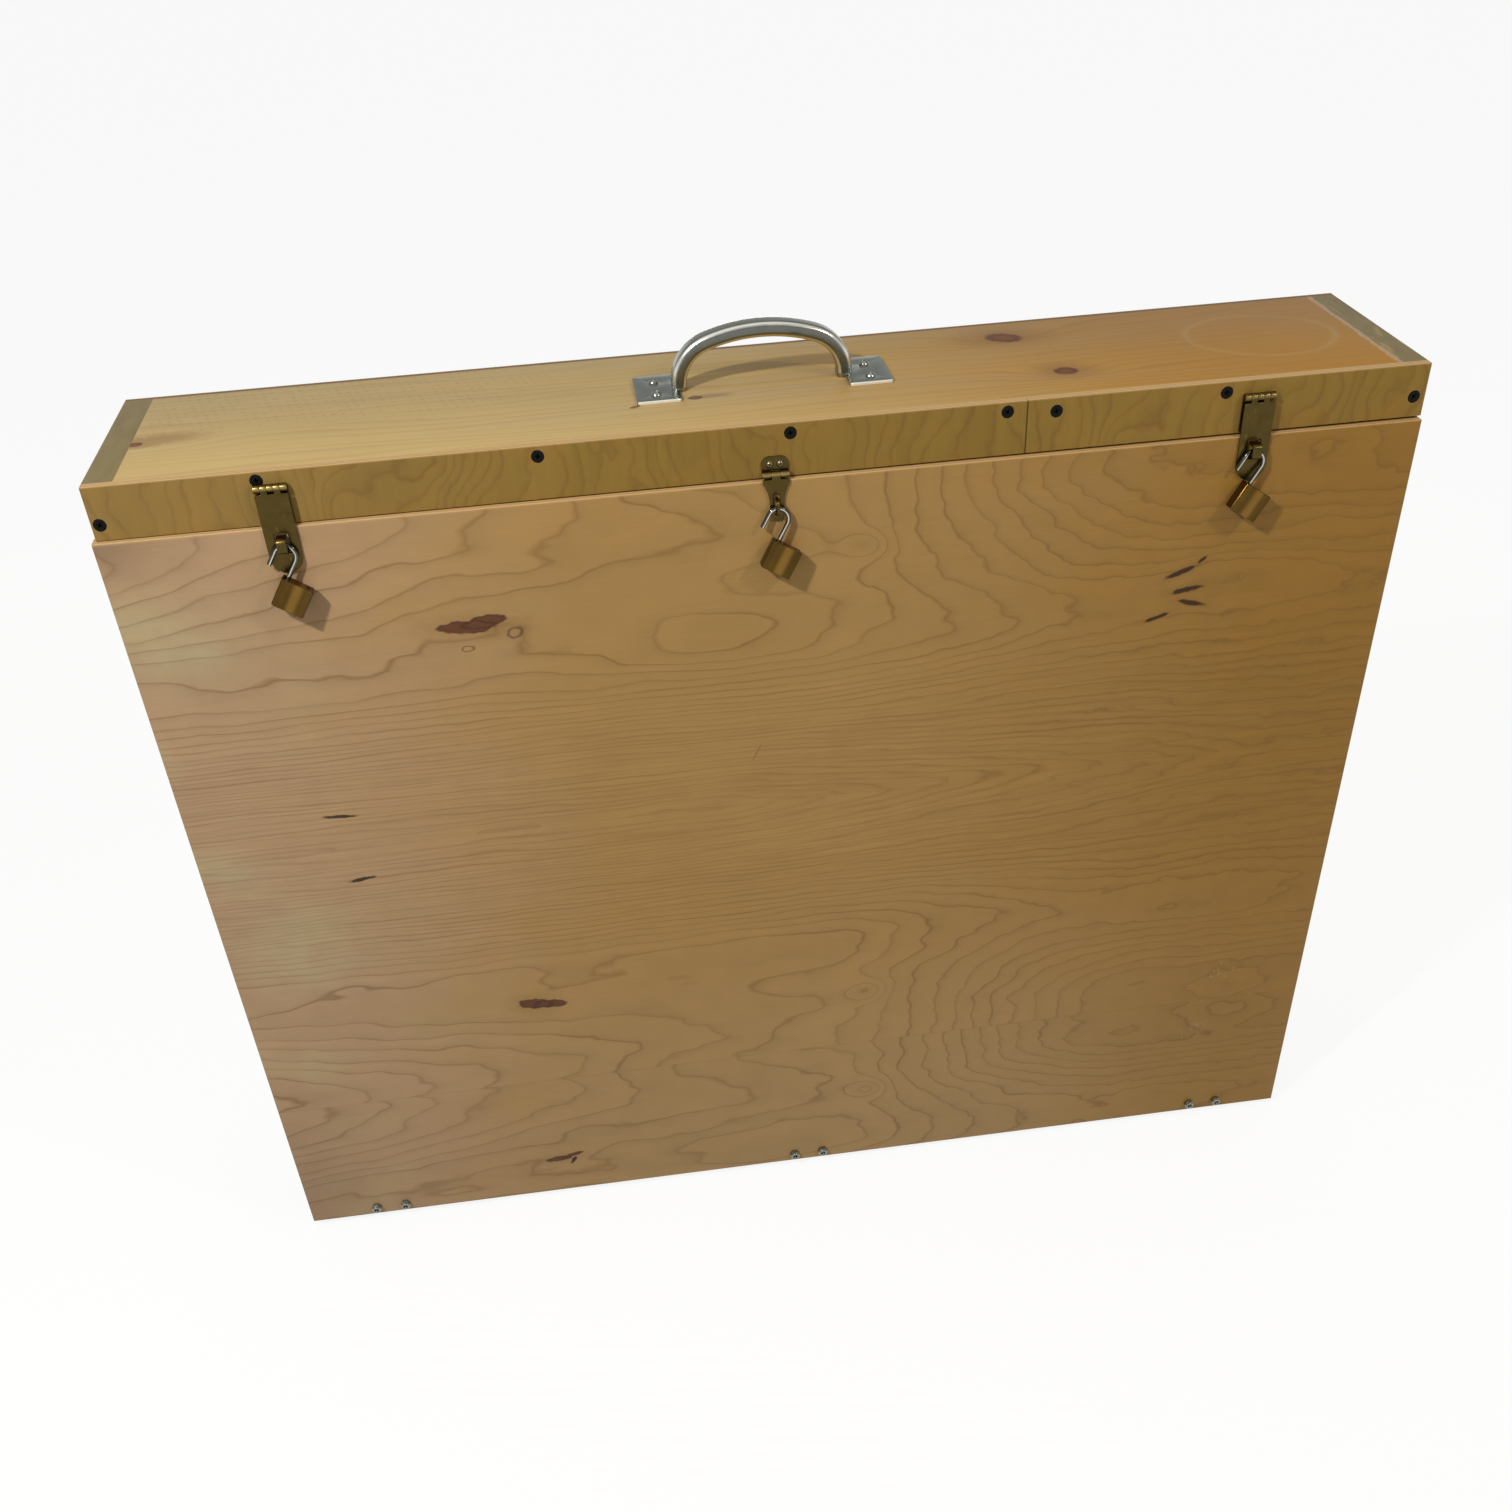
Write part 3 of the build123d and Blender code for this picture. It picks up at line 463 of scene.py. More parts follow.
def birch_door(wood):
    """Rotary cut birch: tight lines at the upper joint, loops and tongues away from it, knots and splits."""
    shader = Shader("birch_door")
    x, y, z = shader.place()
    low, high = corners("door_panel")
    figure, tight, sheet = door_figure(shader, x, z)
    line, shade = growth_lines(figure, 0.085 + tight * 0.18)
    strength = shader.noise((figure + 0.5).floor() * 3.7, x / 120, z / 90, detail=1).smooth(-0.8, 0.8)
    fibre = shader.noise(x / 26, z / 0.9, 5.0, detail=2)
    mottle = shader.noise(x / 95, z / 60, 9.0, detail=2)
    fleck = shader.noise(x / 5.5, z / 1.3, 2.0, detail=1).smooth(0.45, 0.95)
    ray = shader.noise(x / 9, z / 30, 11.0, detail=1)
    sheen = shader.noise(x / 24, z / 17, 31.0, detail=2)
    fine = shader.noise(x / 70, z / 2.1, 14.0, detail=1)

    across = x + mottle * 60
    streak = shader.noise(x / 150, z / 9, 4.0, detail=2).smooth(0.0, 0.9)
    patch = shader.noise(x / 60, z / 62, 21.5, detail=1).smooth(-0.1, 0.7)
    edge = 1 - x.smooth(-406, -268)
    green = hills(x + mottle * 14, z + streak * 12, DOOR_SAP).least(1.0)
    low_down = (1 - z.smooth(40, 300)) * (1 - abs(x - 20).smooth(120, 330))
    colour = shader.layers(
        wood.birch_left,
        (wood.birch_middle, across.smooth(-420, -120)),
        (wood.birch_right, across.smooth(20, 380) * (z.smooth(0, 420) * 0.5 + 0.5)),
        (wood.birch_rose, (1 - x.smooth(-380, -90)) * (1 - patch) * 0.55),
        (wood.birch_sap, edge * patch * (0.2 + streak * 0.5)),
        (wood.birch_sap, green * (0.5 + sheen * 0.35 + streak * 0.35)),
        (wood.birch_left, low_down * 0.42),
    )
    # painted shade: the door is darker towards its top-left and bottom-left corners, most at the top
    corner_shade = (1 - x.smooth(-408, -330)) * (z.smooth(555, 600) * 1.4 + 1 - z.smooth(50, 120))
    band = shader.noise(figure * 0.55, 0.5, 0.5, detail=1)
    tone = 1.02 + mottle * 0.06 + band * 0.06 + fibre * 0.045 + ray * 0.016 - shade * 0.15 - fleck * 0.06
    tone = tone - abs(sheet - 1) * 0.02 - corner_shade * 0.18 + sheen * 0.045 + fine * (tight * 0.07 + 0.02)
    drawn = line * (fibre * 0.3 + 0.85) * (strength * 0.46 + 0.13 - tight * 0.2)
    seam = 1 - abs(z - SHEET_JOINT + SHEET_WIDTH).smooth(0.2, 0.7)

    outside = 1 - (y - low.y).smooth(1.0, 3.0)
    ragged = shader.noise(x / 5.5, z / 3.6, 8.0, detail=1.5) * 0.26 + 40 * (1 - outside)
    knots = blots(x, z, DOOR_KNOTS, ragged, 0.14)
    rims = rings_of(x, z, DOOR_KNOTS, ragged, 0.30)
    circles = rings_of(x, z, DOOR_RINGS, ragged, 0.4)
    splits = blots(x, z, DOOR_SPLITS, ragged * 1.5, 0.3)
    halo = blots(x, z, [grown(b, 1.7, 2.1) for b in DOOR_KNOTS[::2] + DOOR_SPLITS[2:6]], ragged, 0.6)
    scratch = blots(x, z, (DOOR_SCRATCH,), 0.0, 0.4) * outside
    scuffs = blots(x, z, DOOR_SCUFFS, ragged * 2.0, 0.6) * shader.noise(x / 3, z / 5, 2.2).smooth(0, 0.8)
    colour = shader.layers(
        shader.dim(colour, tone),
        (wood.birch_line, drawn),
        (wood.birch_line, seam * 0.16),
        (wood.birch_line, halo * 0.22),
        (wood.knot, knots * 0.92),
        (wood.split, (rims * knots * 0.5 + circles * 0.6).least(1.0)),
        (wood.split, splits * 0.9),
        (wood.birch_line, scratch * 0.55),
        (wood.birch_sap, scuffs * 0.4),
        plies(shader, wood, y, DOOR_PLIES, low, high, 0.85),
        # painted highlight where light falls on the door's top edge, laid in the pale ply colour
        (wood.ply_light, (1 - (high.z - z).smooth(0.2, 2.2)) * 0.6),
    )
    height = 0.5 + fibre * 0.16 - splits * 0.6
    gloss = 0.5 + mottle * 0.03 + splits * 0.3
    return shader.finish(
        base_color=colour, roughness=gloss, normal=shader.bump(height, 0.06 * MM), coat_weight=0.05,
        coat_roughness=0.35, specular_ior_level=0.25,
    )


def birch_strip(wood, joint):
    """Birch with its grain upright, cut from another part of the sheet on each side of the joint."""
    shader = Shader("birch_strip")
    x, y, z = shader.place()
    low, high = corners("front_strip_left")
    shift = x.over(joint) * 41
    drift = shader.noise((x + shift) / 34, z / 60, 2.0, detail=1)
    wave = shader.noise((x + shift) / 11, z / 15, 5.5, detail=1.5)
    calm = 1 - (x.smooth(40, 80) - x.smooth(130, 150))
    figure = x * 0.075 + drift * 1.5 * calm + wave * 0.34 + hills(x, z, STRIP_HILLS)
    line, shade = growth_lines(figure, 0.20)
    strength = shader.noise((figure + 0.5).floor() * 2.3, x / 60, z / 40, detail=0).smooth(-0.7, 0.8)
    band = shader.noise(figure * 0.8, z / 90, 3.3, detail=1)
    fibre = shader.noise(x / 0.9, z / 22, 6.0, detail=2)
    mottle = shader.noise(x / 55, z / 40, 3.0, detail=2)
    streak = shader.noise(x / 7, z / 160, 1.0, detail=2)
    tone = 0.94 + mottle * 0.08 + fibre * 0.04 + streak * 0.06 + band * 0.09 - shade * 0.15
    orange = shader.noise((x + shift) / 30, z / 34, 12.0, detail=1).smooth(0.1, 0.9)
    colour = shader.layers(
        shader.dim(wood.strip_tone, tone + x.smooth(60, 260) * 0.08),
        (wood.birch_right, orange * 0.7),
        (wood.birch_left, (1 - x.smooth(-400, -60)) * 0.12),
        (wood.birch_line, line * (strength * 0.34 + 0.05)),
        (wood.split, (1 - abs(x - joint).smooth(0.25, 0.8)) * 0.6),
        plies(shader, wood, y, STRIP_PLIES, low, high, 0.9),
        # painted highlight where light falls on the strip's top edge, laid in the pale ply colour
        (wood.ply_light, (1 - (high.z - z).smooth(0.1, 1.2)) * 0.45),
    )
    height = 0.5 + fibre * 0.18 - line * 0.15
    return shader.finish(
        base_color=colour, roughness=0.48 + fibre * 0.03, normal=shader.bump(height, 0.05 * MM), **LACQUER
    )


def pine_top(wood):
    """The top board: straight pale grain, two hard knots, rows of roller dashes and a cup's ring."""
    shader = Shader("pine_top")
    x, y, z = shader.place()
    sway = shader.noise(x / 260, y / 40, 2.0, detail=1)
    wave = shader.noise(x / 70, y / 11, 4.0, detail=1)
    figure = y * 0.115 + sway * 1.5 + wave * 0.22 + hills(x, y, TOP_HILLS)
    phase = figure.fraction()
    late = phase ** 3 * (1 - phase.smooth(0.93, 1.0))
    strength = shader.noise(figure.floor() * 2.9, x / 230, 0.3, detail=0).smooth(-0.8, 0.8)
    fibre = shader.noise(x / 34, y / 0.8, 1.0, detail=2)
    mottle = shader.noise(x / 120, y / 46, 6.0, detail=2)
    colour = shader.mix(wood.pine_left, wood.pine_right, (x + mottle * 50).smooth(-140, 330))
    colour = shader.mix(colour, wood.birch_sap, (1 - x.smooth(-380, -180)) * mottle.smooth(0, 0.9) * 0.35)
    # The board is darker from front to back, a painted shade where the light falls off; it is darker still in
    # its last few millimetres at the back.
    tone = 1.07 + mottle * 0.055 + fibre * 0.035 - y.smooth(-70, 70) * 0.13 - y.smooth(68, 73) * 0.25
    warm = (x.smooth(90, 160) - x.smooth(250, 360)) * 0.25

    ragged = shader.noise(x / 5, y / 4, 8.0, detail=2) * 0.16
    knots = blots(x, y, TOP_KNOTS, ragged, 0.16)
    heart = blots(x, y, [grown(b, 0.5, 0.5) for b in TOP_KNOTS], ragged * 2, 0.5)
    halo = blots(x, y, [grown(b, 2.4, 1.9, lean=-6) for b in TOP_KNOTS[:3]], ragged * 2, 0.75)
    smear = blots(x, y, TOP_SMEARS, ragged * 2, 0.7)

    row = (y + 70) / ROLLER_ROW
    step = x / ROLLER_STEP + row.floor() * 0.31 + shader.noise(x / 40, y / 20, 3.0) * 0.12
    in_row = 1 - abs(row.fraction() - 0.5).smooth(0.05, 0.11)
    in_step = 1 - abs(step.fraction() - 0.5).smooth(0.13, 0.24)
    present = shader.noise(step.floor() * 1.7, row.floor() * 2.3, 0.9, detail=0).smooth(-0.55, 0.35)
    region = (1 - x.smooth(-210, -60)) * y.smooth(-14, 12) * x.smooth(-391, -380)
    dashes = in_row * in_step * present * region

    ring = rings_of(x, y, (CUP_RING,), shader.noise(x / 30, y / 30, 1.1) * 0.05, 0.09)
    edge = corners("top_board")[0].y + 1.2
    colour = shader.layers(
        shader.dim(colour, tone),
        (wood.pine_line, late * (0.08 + strength * 0.26 + warm)),
        (wood.pine_line, (halo + smear).least(1.0) * 0.6),
        (wood.knot, knots * (0.92 - heart * 0.2)),
        (wood.pine_line, dashes * 0.62),
        (wood.birch_sap, ring * 0.15),
        filler_line(shader, wood, x, y),
        # painted highlight: paler along the board's front edge
        (wood.pine_left, (1 - (y - edge).smooth(-0.8, 0.6)) * 0.4),
    )
    height = 0.5 + fibre * 0.2 - dashes * 0.5 - late * 0.08 - knots * 0.1
    return shader.finish(
        base_color=colour, roughness=0.47 + fibre * 0.03, normal=shader.bump(height, 0.07 * MM), **LACQUER
    )


def filler_line(shader, wood, x, y):
    """The pinkish filler along the joint of the top board and the right side board, and where it shows."""
    joint = corners("top_board")[1].x
    wander = shader.noise(x / 9, y / 7, 4.4, detail=2)
    line = 1 - abs(x - joint - 0.6 + wander * 1.6).smooth(0.9, 2.3)
    crumbs = shader.noise(x / 2.2, y / 2.6, 7.0, detail=1).smooth(0.45, 0.7)
    near = 1 - abs(x - joint - 4).smooth(2, 9)
    return wood.filler, (line * 0.34 + crumbs * near * 0.5).least(0.8)


def pine_side(wood):
    """The side boards: grain upright on their faces and end grain on top."""
    shader = Shader("pine_side")
    x, y, z = shader.place()
    left = 1 - x.over(0)
    sway = shader.noise(y / 40, z / 260, x * 0.004 + 3, detail=1)
    wave = shader.noise(y / 10, z / 60, x * 0.004 + 1, detail=1)
    figure = y * 0.11 + sway * 1.6 + wave * 0.25
    phase = figure.fraction()
    late = phase ** 3 * (1 - phase.smooth(0.92, 1.0))
    fibre = shader.noise(y / 0.8, z / 34, x * 0.01 + 2, detail=2)
    mottle = shader.noise(y / 46, z / 120, x * 0.01 + 5, detail=2)
    colour = shader.mix(wood.pine_right, wood.pine_left, left * 0.4 + 0.6)
    colour = shader.dim(colour, 1 + mottle * 0.06 + fibre * 0.03)
    colour = shader.mix(colour, wood.pine_line, late * 0.42)

    arc = (x * x * 0.012 + (y - 30) * (y - 30) * 0.0034 + shader.noise(x / 12, y / 30, 2.0) * 1.5) ** 0.85
    rings = (arc * 1.1).fraction() ** 3
    speck = shader.noise(x / 0.9, y / 0.9, 3.0, detail=2)
    grime = shader.noise(x / 7, y / 22, 6.0, detail=2)
    scraped = shader.noise(x / 5, y / 26, 9.0, detail=1).smooth(0.1, 0.6) * x.over(0)
    end = shader.layers(
        shader.dim(wood.end_grain, 1 + speck * 0.07 + grime * 0.16 - rings * 0.14),
        (wood.pine_left, scraped * 0.4),
        filler_line(shader, wood, x, y),
    )
    low, high = corners("side_board_left")
    at_end = (z - high.z).smooth(-0.3, -0.1) + 1 - (z - low.z).smooth(0.1, 0.3)
    colour = shader.mix(colour, end, at_end)
    height = 0.5 + fibre * 0.2 + speck * 0.1 - late * 0.08
    return shader.finish(
        base_color=colour, roughness=0.52 + mottle * 0.03, normal=shader.bump(height, 0.07 * MM),
        specular_ior_level=0.3,
    )


def plain_sheet(wood, name, pine):
    """Wood that is seldom seen: the bottom board in pine, the back panel in plywood."""
    shader = Shader(name)
    x, y, z = shader.place()
    across = y if pine else z
    drift = shader.noise(x / 220, across / 45, y / 45 + 2, detail=1)
    figure = across * 0.1 + drift * 2.2 + shader.noise(x / 60, across / 14, 4.0) * 0.4
    line, shade = growth_lines(figure, 0.06)
    fibre = shader.noise(x / 30, across / 0.9, y / 0.9, detail=2)
    mottle = shader.noise(x / 110, across / 60, 4.0, detail=2)
    base = shader.mix(wood.pine_left, wood.pine_right, 0.3) if pine else wood.birch_middle
    colour = shader.dim(base, 0.95 + mottle * 0.06 + fibre * 0.03 - shade * 0.08)
    colour = shader.mix(colour, wood.birch_line, line * 0.28)
    if not pine:
        low, high = corners("back_panel")
        top_edge = (z - high.z).smooth(-0.15, -0.05)
        colour = shader.layers(
            colour, plies(shader, wood, y, BACK_PLIES, low, high, 0.8), (wood.split, top_edge * 0.55)
        )
    return shader.finish(
        base_color=colour, roughness=0.52 + fibre * 0.03, specular_ior_level=0.3,
        normal=shader.bump(0.5 + fibre * 0.2 - line * 0.1, 0.06 * MM),
    )


# Across the handle's grip, in millimetres: the shoulder that gets a painted highlight and the side below it
# that gets painted shade
GRIP_SHOULDER = -5.7
GRIP_SIDE = -6.55


def zinc(metal):
    """Bright zinc: faint blotches and scratches, a painted highlight on the grip's shoulder and the plates'
    front edge, and painted shade on the grip's side below the shoulder.
    """
    shader = Shader("bright_zinc")
    x, y, z = shader.place()
    cloud = shader.noise(x / 9, y / 9, z / 9, detail=2)
    scratch = shader.noise(x / 14, y / 0.5, z / 0.5, detail=1)
    low = corners("carry_handle")[0]
    # painted highlight along the grip's shoulder and along the plates' front edge, which is also made less
    # metallic
    shoulder = 1 - abs(y - GRIP_SHOULDER).smooth(0.25, 0.95)
    edge_highlight = 1 - (y - low.y).smooth(0.5, 1.6)
    on_grip = (z - low.z).over(2.5)
    # painted shade on the side of the grip below the shoulder
    shaded = on_grip * (1 - (y - GRIP_SIDE).smooth(0.0, 0.35))
    plain = shader.dim(metal.zinc, 1 + cloud * 0.10 - shaded * 0.45)
    return shader.finish(
        base_color=shader.mix(plain, metal.highlight_steel, shoulder * on_grip + edge_highlight),
        metallic=1 - edge_highlight * 0.65,
        roughness=0.25 + cloud * 0.07 + scratch * 0.03,
        normal=shader.bump(0.5 + scratch * 0.2 + cloud * 0.2, 0.012 * MM),
    )


def aged_brass(metal):
    """Dark olive brass, brighter where it is rubbed, with a painted highlight on the front of the hasps'
    barrels.
    """
    shader = Shader("aged_brass")
    x, y, z = shader.place()
    cloud = shader.noise(x / 6, y / 6, z / 6, detail=3)
    rub = shader.noise(x / 2.4, y / 2.4, z / 7, detail=2).smooth(0.35, 1.0)
    # painted highlight on the front of each hasp's barrel, weaker towards the right
    barrels = 0.0
    for side in SIDES:
        low, high = corners(f"{side}_hasp_pin")
        near = 1 - abs(z - (low.z + high.z) / 2 - 0.6).smooth(0.1, 1.3)
        beside = (x - low.x + 1).over(0) * (high.x + 1 - x).over(0)
        barrels = near * beside * (low.y - y).over(0.2) + barrels
    brush = shader.noise(x / 0.5, y / 3, z / 9, detail=1)
    colour = shader.dim(metal.dark_brass, 1 + cloud * 0.22 + brush * 0.06)
    # real wear and the painted barrel highlight, laid in one brighter brass
    worn = (rub * 0.35 + barrels * (0.62 - x.smooth(0, 300) * 0.3)).least(1.0)
    colour = shader.mix(colour, metal.wear_and_highlight_brass, worn)
    return shader.finish(
        base_color=colour,
        metallic=1.0,
        roughness=0.34 + cloud * 0.08 + brush * 0.03,
        normal=shader.bump(0.5 + brush * 0.25 + cloud * 0.25, 0.014 * MM),
    )


def padlock_brass(metal, side):
    """Satin brass, brushed along the body, with a painted reflection: a brighter band down the middle of its
    face.
    """
    shader = Shader(f"{side}_lock_brass")
    place = x, y, z = shader.place()
    along = lock_direction(side)
    across = along.cross(Vector((0, 1, 0))).normalized()
    run, width = along_axis(place, along), along_axis(place, across)
    brush = shader.noise(run / 22, width / 0.35, y / 2, detail=2)
    band = shader.noise(run / 60, width / 4.2, 2.0, detail=0.5)
    low, high = corners(f"{side}_padlock_body")
    middle = (low + high).dot(across) / 2
    # painted reflection: a bright band down the middle of the body's face
    reflection_band = 1 - abs(width - middle - 0.8).smooth(1.0, 4.4)
    cloud = shader.noise(x / 8, y / 8, z / 8, detail=2)
    tone = 0.74 + reflection_band * 0.85 + band * 0.2 + cloud * 0.12 + brush * 0.08
    return shader.finish(
        base_color=shader.dim(metal.lock_brass, tone),
        metallic=1.0,
        roughness=0.33 + brush * 0.05 + cloud * 0.05,
        normal=shader.bump(0.5 + brush * 0.3 + band * 0.2, 0.02 * MM),
    )


def plain_metal(name, colour, roughness, metallic=1.0, shine=0.5):
    """Small steel parts, with a little unevenness."""
    shader = Shader(name)
    x, y, z = shader.place()
    cloud = shader.noise(x / 2.2, y / 2.2, z / 2.2, detail=2)
    return shader.finish(
        base_color=shader.dim(colour, 1 + cloud * 0.14),
        metallic=metallic,
        roughness=roughness + cloud * 0.05,
        normal=shader.bump(0.5 + cloud * 0.3, 0.01 * MM),
        specular_ior_level=shine,
    )


def joint_named(name):
    return next(joint for joint in frame["record"]["behaviour"]["joints"] if joint["name"] == name)


def lock_direction(side):
    """The way that a padlock's leg points, as a unit vector."""
    return Vector(joint_named(f"{side}_padlock_swivel")["axis"]).normalized()


def bow_axes(side):
    """A bow's centre and radius in millimetres, and unit vectors to its long leg, up and out of its face."""
    down = lock_direction(side)
    leg = Vector(joint_named(f"{side}_padlock_swivel")["pos_m"]) / MM
    top = Vector(joint_named(f"{side}_shackle_tilt")["pos_m"]) / MM
    across = (leg - top) - down * (leg - top).dot(down)
    across.normalize()
    radius = (leg - top).length_squared / (2 * (leg - top).dot(across))
    out = across.cross(down)
    out *= -1 if out.y > 0 else 1
    return leg - across * radius, radius, across, -down, out


def along_axis(place, axis, centre=Vector()):
    """How far a place is from a centre along a unit vector."""
    x, y, z = (value - start for value, start in zip(place, centre))
    return x * axis.x + y * axis.y + z * axis.z


def shackle_steel(metal, side):
    """Dull steel with a painted highlight in a line along the front of the bow and its legs."""
    shader = Shader(f"{side}_shackle_steel")
    place = x, y, z = shader.place()
    centre, radius, across, up, out = bow_axes(side)
    aside = along_axis(place, across, centre)
    above = along_axis(place, up, centre).most(0)
    in_front = along_axis(place, out, centre).over(0.3)
    from_line = (aside * aside + above * above).root() - radius
    cloud = shader.noise(x / 2.2, y / 2.2, z / 2.2, detail=2)
    # painted highlight: a bright line along the front of the bow and its legs
    rubbed = (1 - abs(from_line + 0.25).smooth(0.05, 0.55)) * in_front * (0.8 + cloud * 0.2)
    return shader.finish(
        base_color=shader.mix(shader.dim(metal.shackle, 1 + cloud * 0.14), metal.highlight_steel, rubbed),
        metallic=1.0,
        roughness=0.11 + cloud * 0.04,
        normal=shader.bump(0.5 + cloud * 0.3, 0.01 * MM),
    )


def solid_mesh(node):
    """A CAD node's mesh with its loose triangles joined, for a copy to be worked on."""
    source = frame["nodes"][node]
    mesh = bmesh.new()
    mesh.from_mesh(source.data)
    mesh.transform(source.matrix_world)
    bmesh.ops.remove_doubles(mesh, verts=mesh.verts, dist=MERGE_DISTANCE)
    return mesh


def solids_of(node):
    """The lowest and highest corner of each separate solid in a CAD node."""
    mesh = solid_mesh(node)
    unseen = set(mesh.verts)
    boxes = []
    while unseen:
        group, edge = set(), [unseen.pop()]
        while edge:
            vertex = edge.pop()
            group.add(vertex)
            for link in vertex.link_edges:
                other = link.other_vert(vertex)
                if other in unseen:
                    unseen.discard(other)
                    edge.append(other)
        low = Vector(min(v.co[i] for v in group) for i in range(3))
        high = Vector(max(v.co[i] for v in group) for i in range(3))
        boxes.append((low, high))
    mesh.free()
    return sorted(boxes, key=lambda box: tuple(round(v, 5) for v in box[0]))


def object_of(name, data, material=None):
    """A new object in the scene, from a lamp, a camera, a mesh or a mesh that is still being made."""
    if isinstance(data, bmesh.types.BMesh):
        draft, data = data, bpy.data.meshes.new(name)
        draft.to_mesh(data)
        draft.free()
    if material:
        data.materials.clear()
        data.materials.append(material)
    made = bpy.data.objects.new(name, data)
    bpy.context.scene.collection.objects.link(made)
    return made


def stand_in(node, mesh, material, body):
    """Shows a finished mesh in a CAD node's place, riding on its body."""
    piece = object_of(f"{node}_finished", mesh, material)
    piece.data.polygons.foreach_set("use_smooth", [True] * len(piece.data.polygons))
    piece.data.set_sharp_from_angle(angle=SMOOTH_ANGLE)
    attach(piece, body)
    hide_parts(node)


def rounded_copy(node, material, body, width, flat=FLAT_BEND):
    """A copy of a CAD node with its sharp edges rounded, shown in the node's place."""
    mesh = solid_mesh(node)
    bmesh.ops.dissolve_limit(
        mesh, angle_limit=radians(flat), verts=mesh.verts, edges=mesh.edges, delimit={"NORMAL"}
    )
    sharp = [e for e in mesh.edges if len(e.link_faces) == 2 and e.calc_face_angle(0) > SHARP_ANGLE]
    bmesh.ops.bevel(
        mesh, geom=sharp, offset=width, offset_type="OFFSET", profile=0.5, affect="EDGES",
        segments=bpy.context.scene.artbox_shape.round_steps, clamp_overlap=True,
    )
    bmesh.ops.triangulate(mesh, faces=[f for f in mesh.faces if len(f.verts) > 4])
    stand_in(node, mesh, material, body)


def paint(material, *nodes):
    """Gives CAD nodes that keep their own shape a finish."""
    for node in nodes:
        for slot in frame["nodes"][node].material_slots:
            slot.material = material


# The sizes of a node's screws, in millimetres: the head's radius and height, the shank's radius and the
# reach of the recess. Outward tells from a screw's box which way its head faces.
Screws = namedtuple("Screws", "node body slot outward radius head shank arm dome")
SCREW_SIDES = 40
DOME_STEPS = 6
HEAD_EDGE = 0.12
FULL_RECESS_RADIUS = 3.9

# Shares: of the recess's reach, of the head's height, of the recess's width and of the shank's radius
FLAT_REACH = 1.12
RECESS_DEPTH = 0.62
RECESS_TAPER = 0.45
TIP_WIDTH = 0.15


def screw_profile(kind, flat, length):
    """Radius and height of each row of a screw's skin, from the flat round the recess to the tip."""
    radius, head, shank, tip = kind.radius, kind.head, kind.shank, kind.shank * TIP_WIDTH
    if kind.dome:
        sphere = (radius**2 + head**2) / (2 * head)
        radii = [flat + (radius - flat) * i / DOME_STEPS for i in range(DOME_STEPS)]
        profile = [(r, sqrt(max(sphere**2 - r**2, 0)) - sphere + head) for r in radii]
        profile += [(radius, 0), (shank, 0), (shank, head - length + 2 * shank), (tip, head - length)]
    else:
        edge = HEAD_EDGE
        profile = [(flat, 0), (radius - edge, 0), (radius - edge * 0.3, -edge * 0.3), (radius, -edge)]
        profile += [(radius, -2.5 * edge), (shank, -head), (shank, 2 * shank - length), (tip, -length)]
    return profile


def screw_mesh(kind, length, arm_width):
    """One screw, its head's face at the origin and its shank down the Z axis, with a cross recess."""
    mesh = bmesh.new()

    def loop(places):
        return [mesh.verts.new((x * MM, y * MM, z * MM)) for x, y, z in places]

    def join(first, second):
        for i, start in enumerate(first):
            k = (i + 1) % len(first)
            mesh.faces.new((start, first[k], second[k], second[i]))

    turns = [2 * pi * i / SCREW_SIDES for i in range(SCREW_SIDES)]
    profile = screw_profile(kind, kind.arm * FLAT_REACH, length)
    rows = [loop((r * cos(turn), r * sin(turn), z) for turn in turns) for r, z in profile]
    for first, second in zip(rows, rows[1:]):
        join(second, first)
    mesh.faces.new(list(reversed(rows[-1])))

    w, a, face = arm_width / 2, kind.arm, profile[0][1]
    quarter = [(a, w), (w, w), (w, a)]
    half = quarter + [(-x, y) for x, y in reversed(quarter)]
    outline = half + [(-x, -y) for x, y in half]
    lip = loop((x, y, face) for x, y in outline)
    cross = [mesh.edges.new((start, end)) for start, end in zip(lip, lip[1:] + lip[:1])]
    rim = [e for e in mesh.edges if all(v in rows[0] for v in e.verts)]
    bmesh.ops.triangle_fill(mesh, edges=cross + rim, use_beauty=True)
    floor = face - kind.head * RECESS_DEPTH
    pit = loop((x * RECESS_TAPER, y * RECESS_TAPER, floor) for x, y in outline)
    join(lip, pit)
    mesh.faces.new(pit)
    bmesh.ops.recalc_face_normals(mesh, faces=mesh.faces)
    return mesh


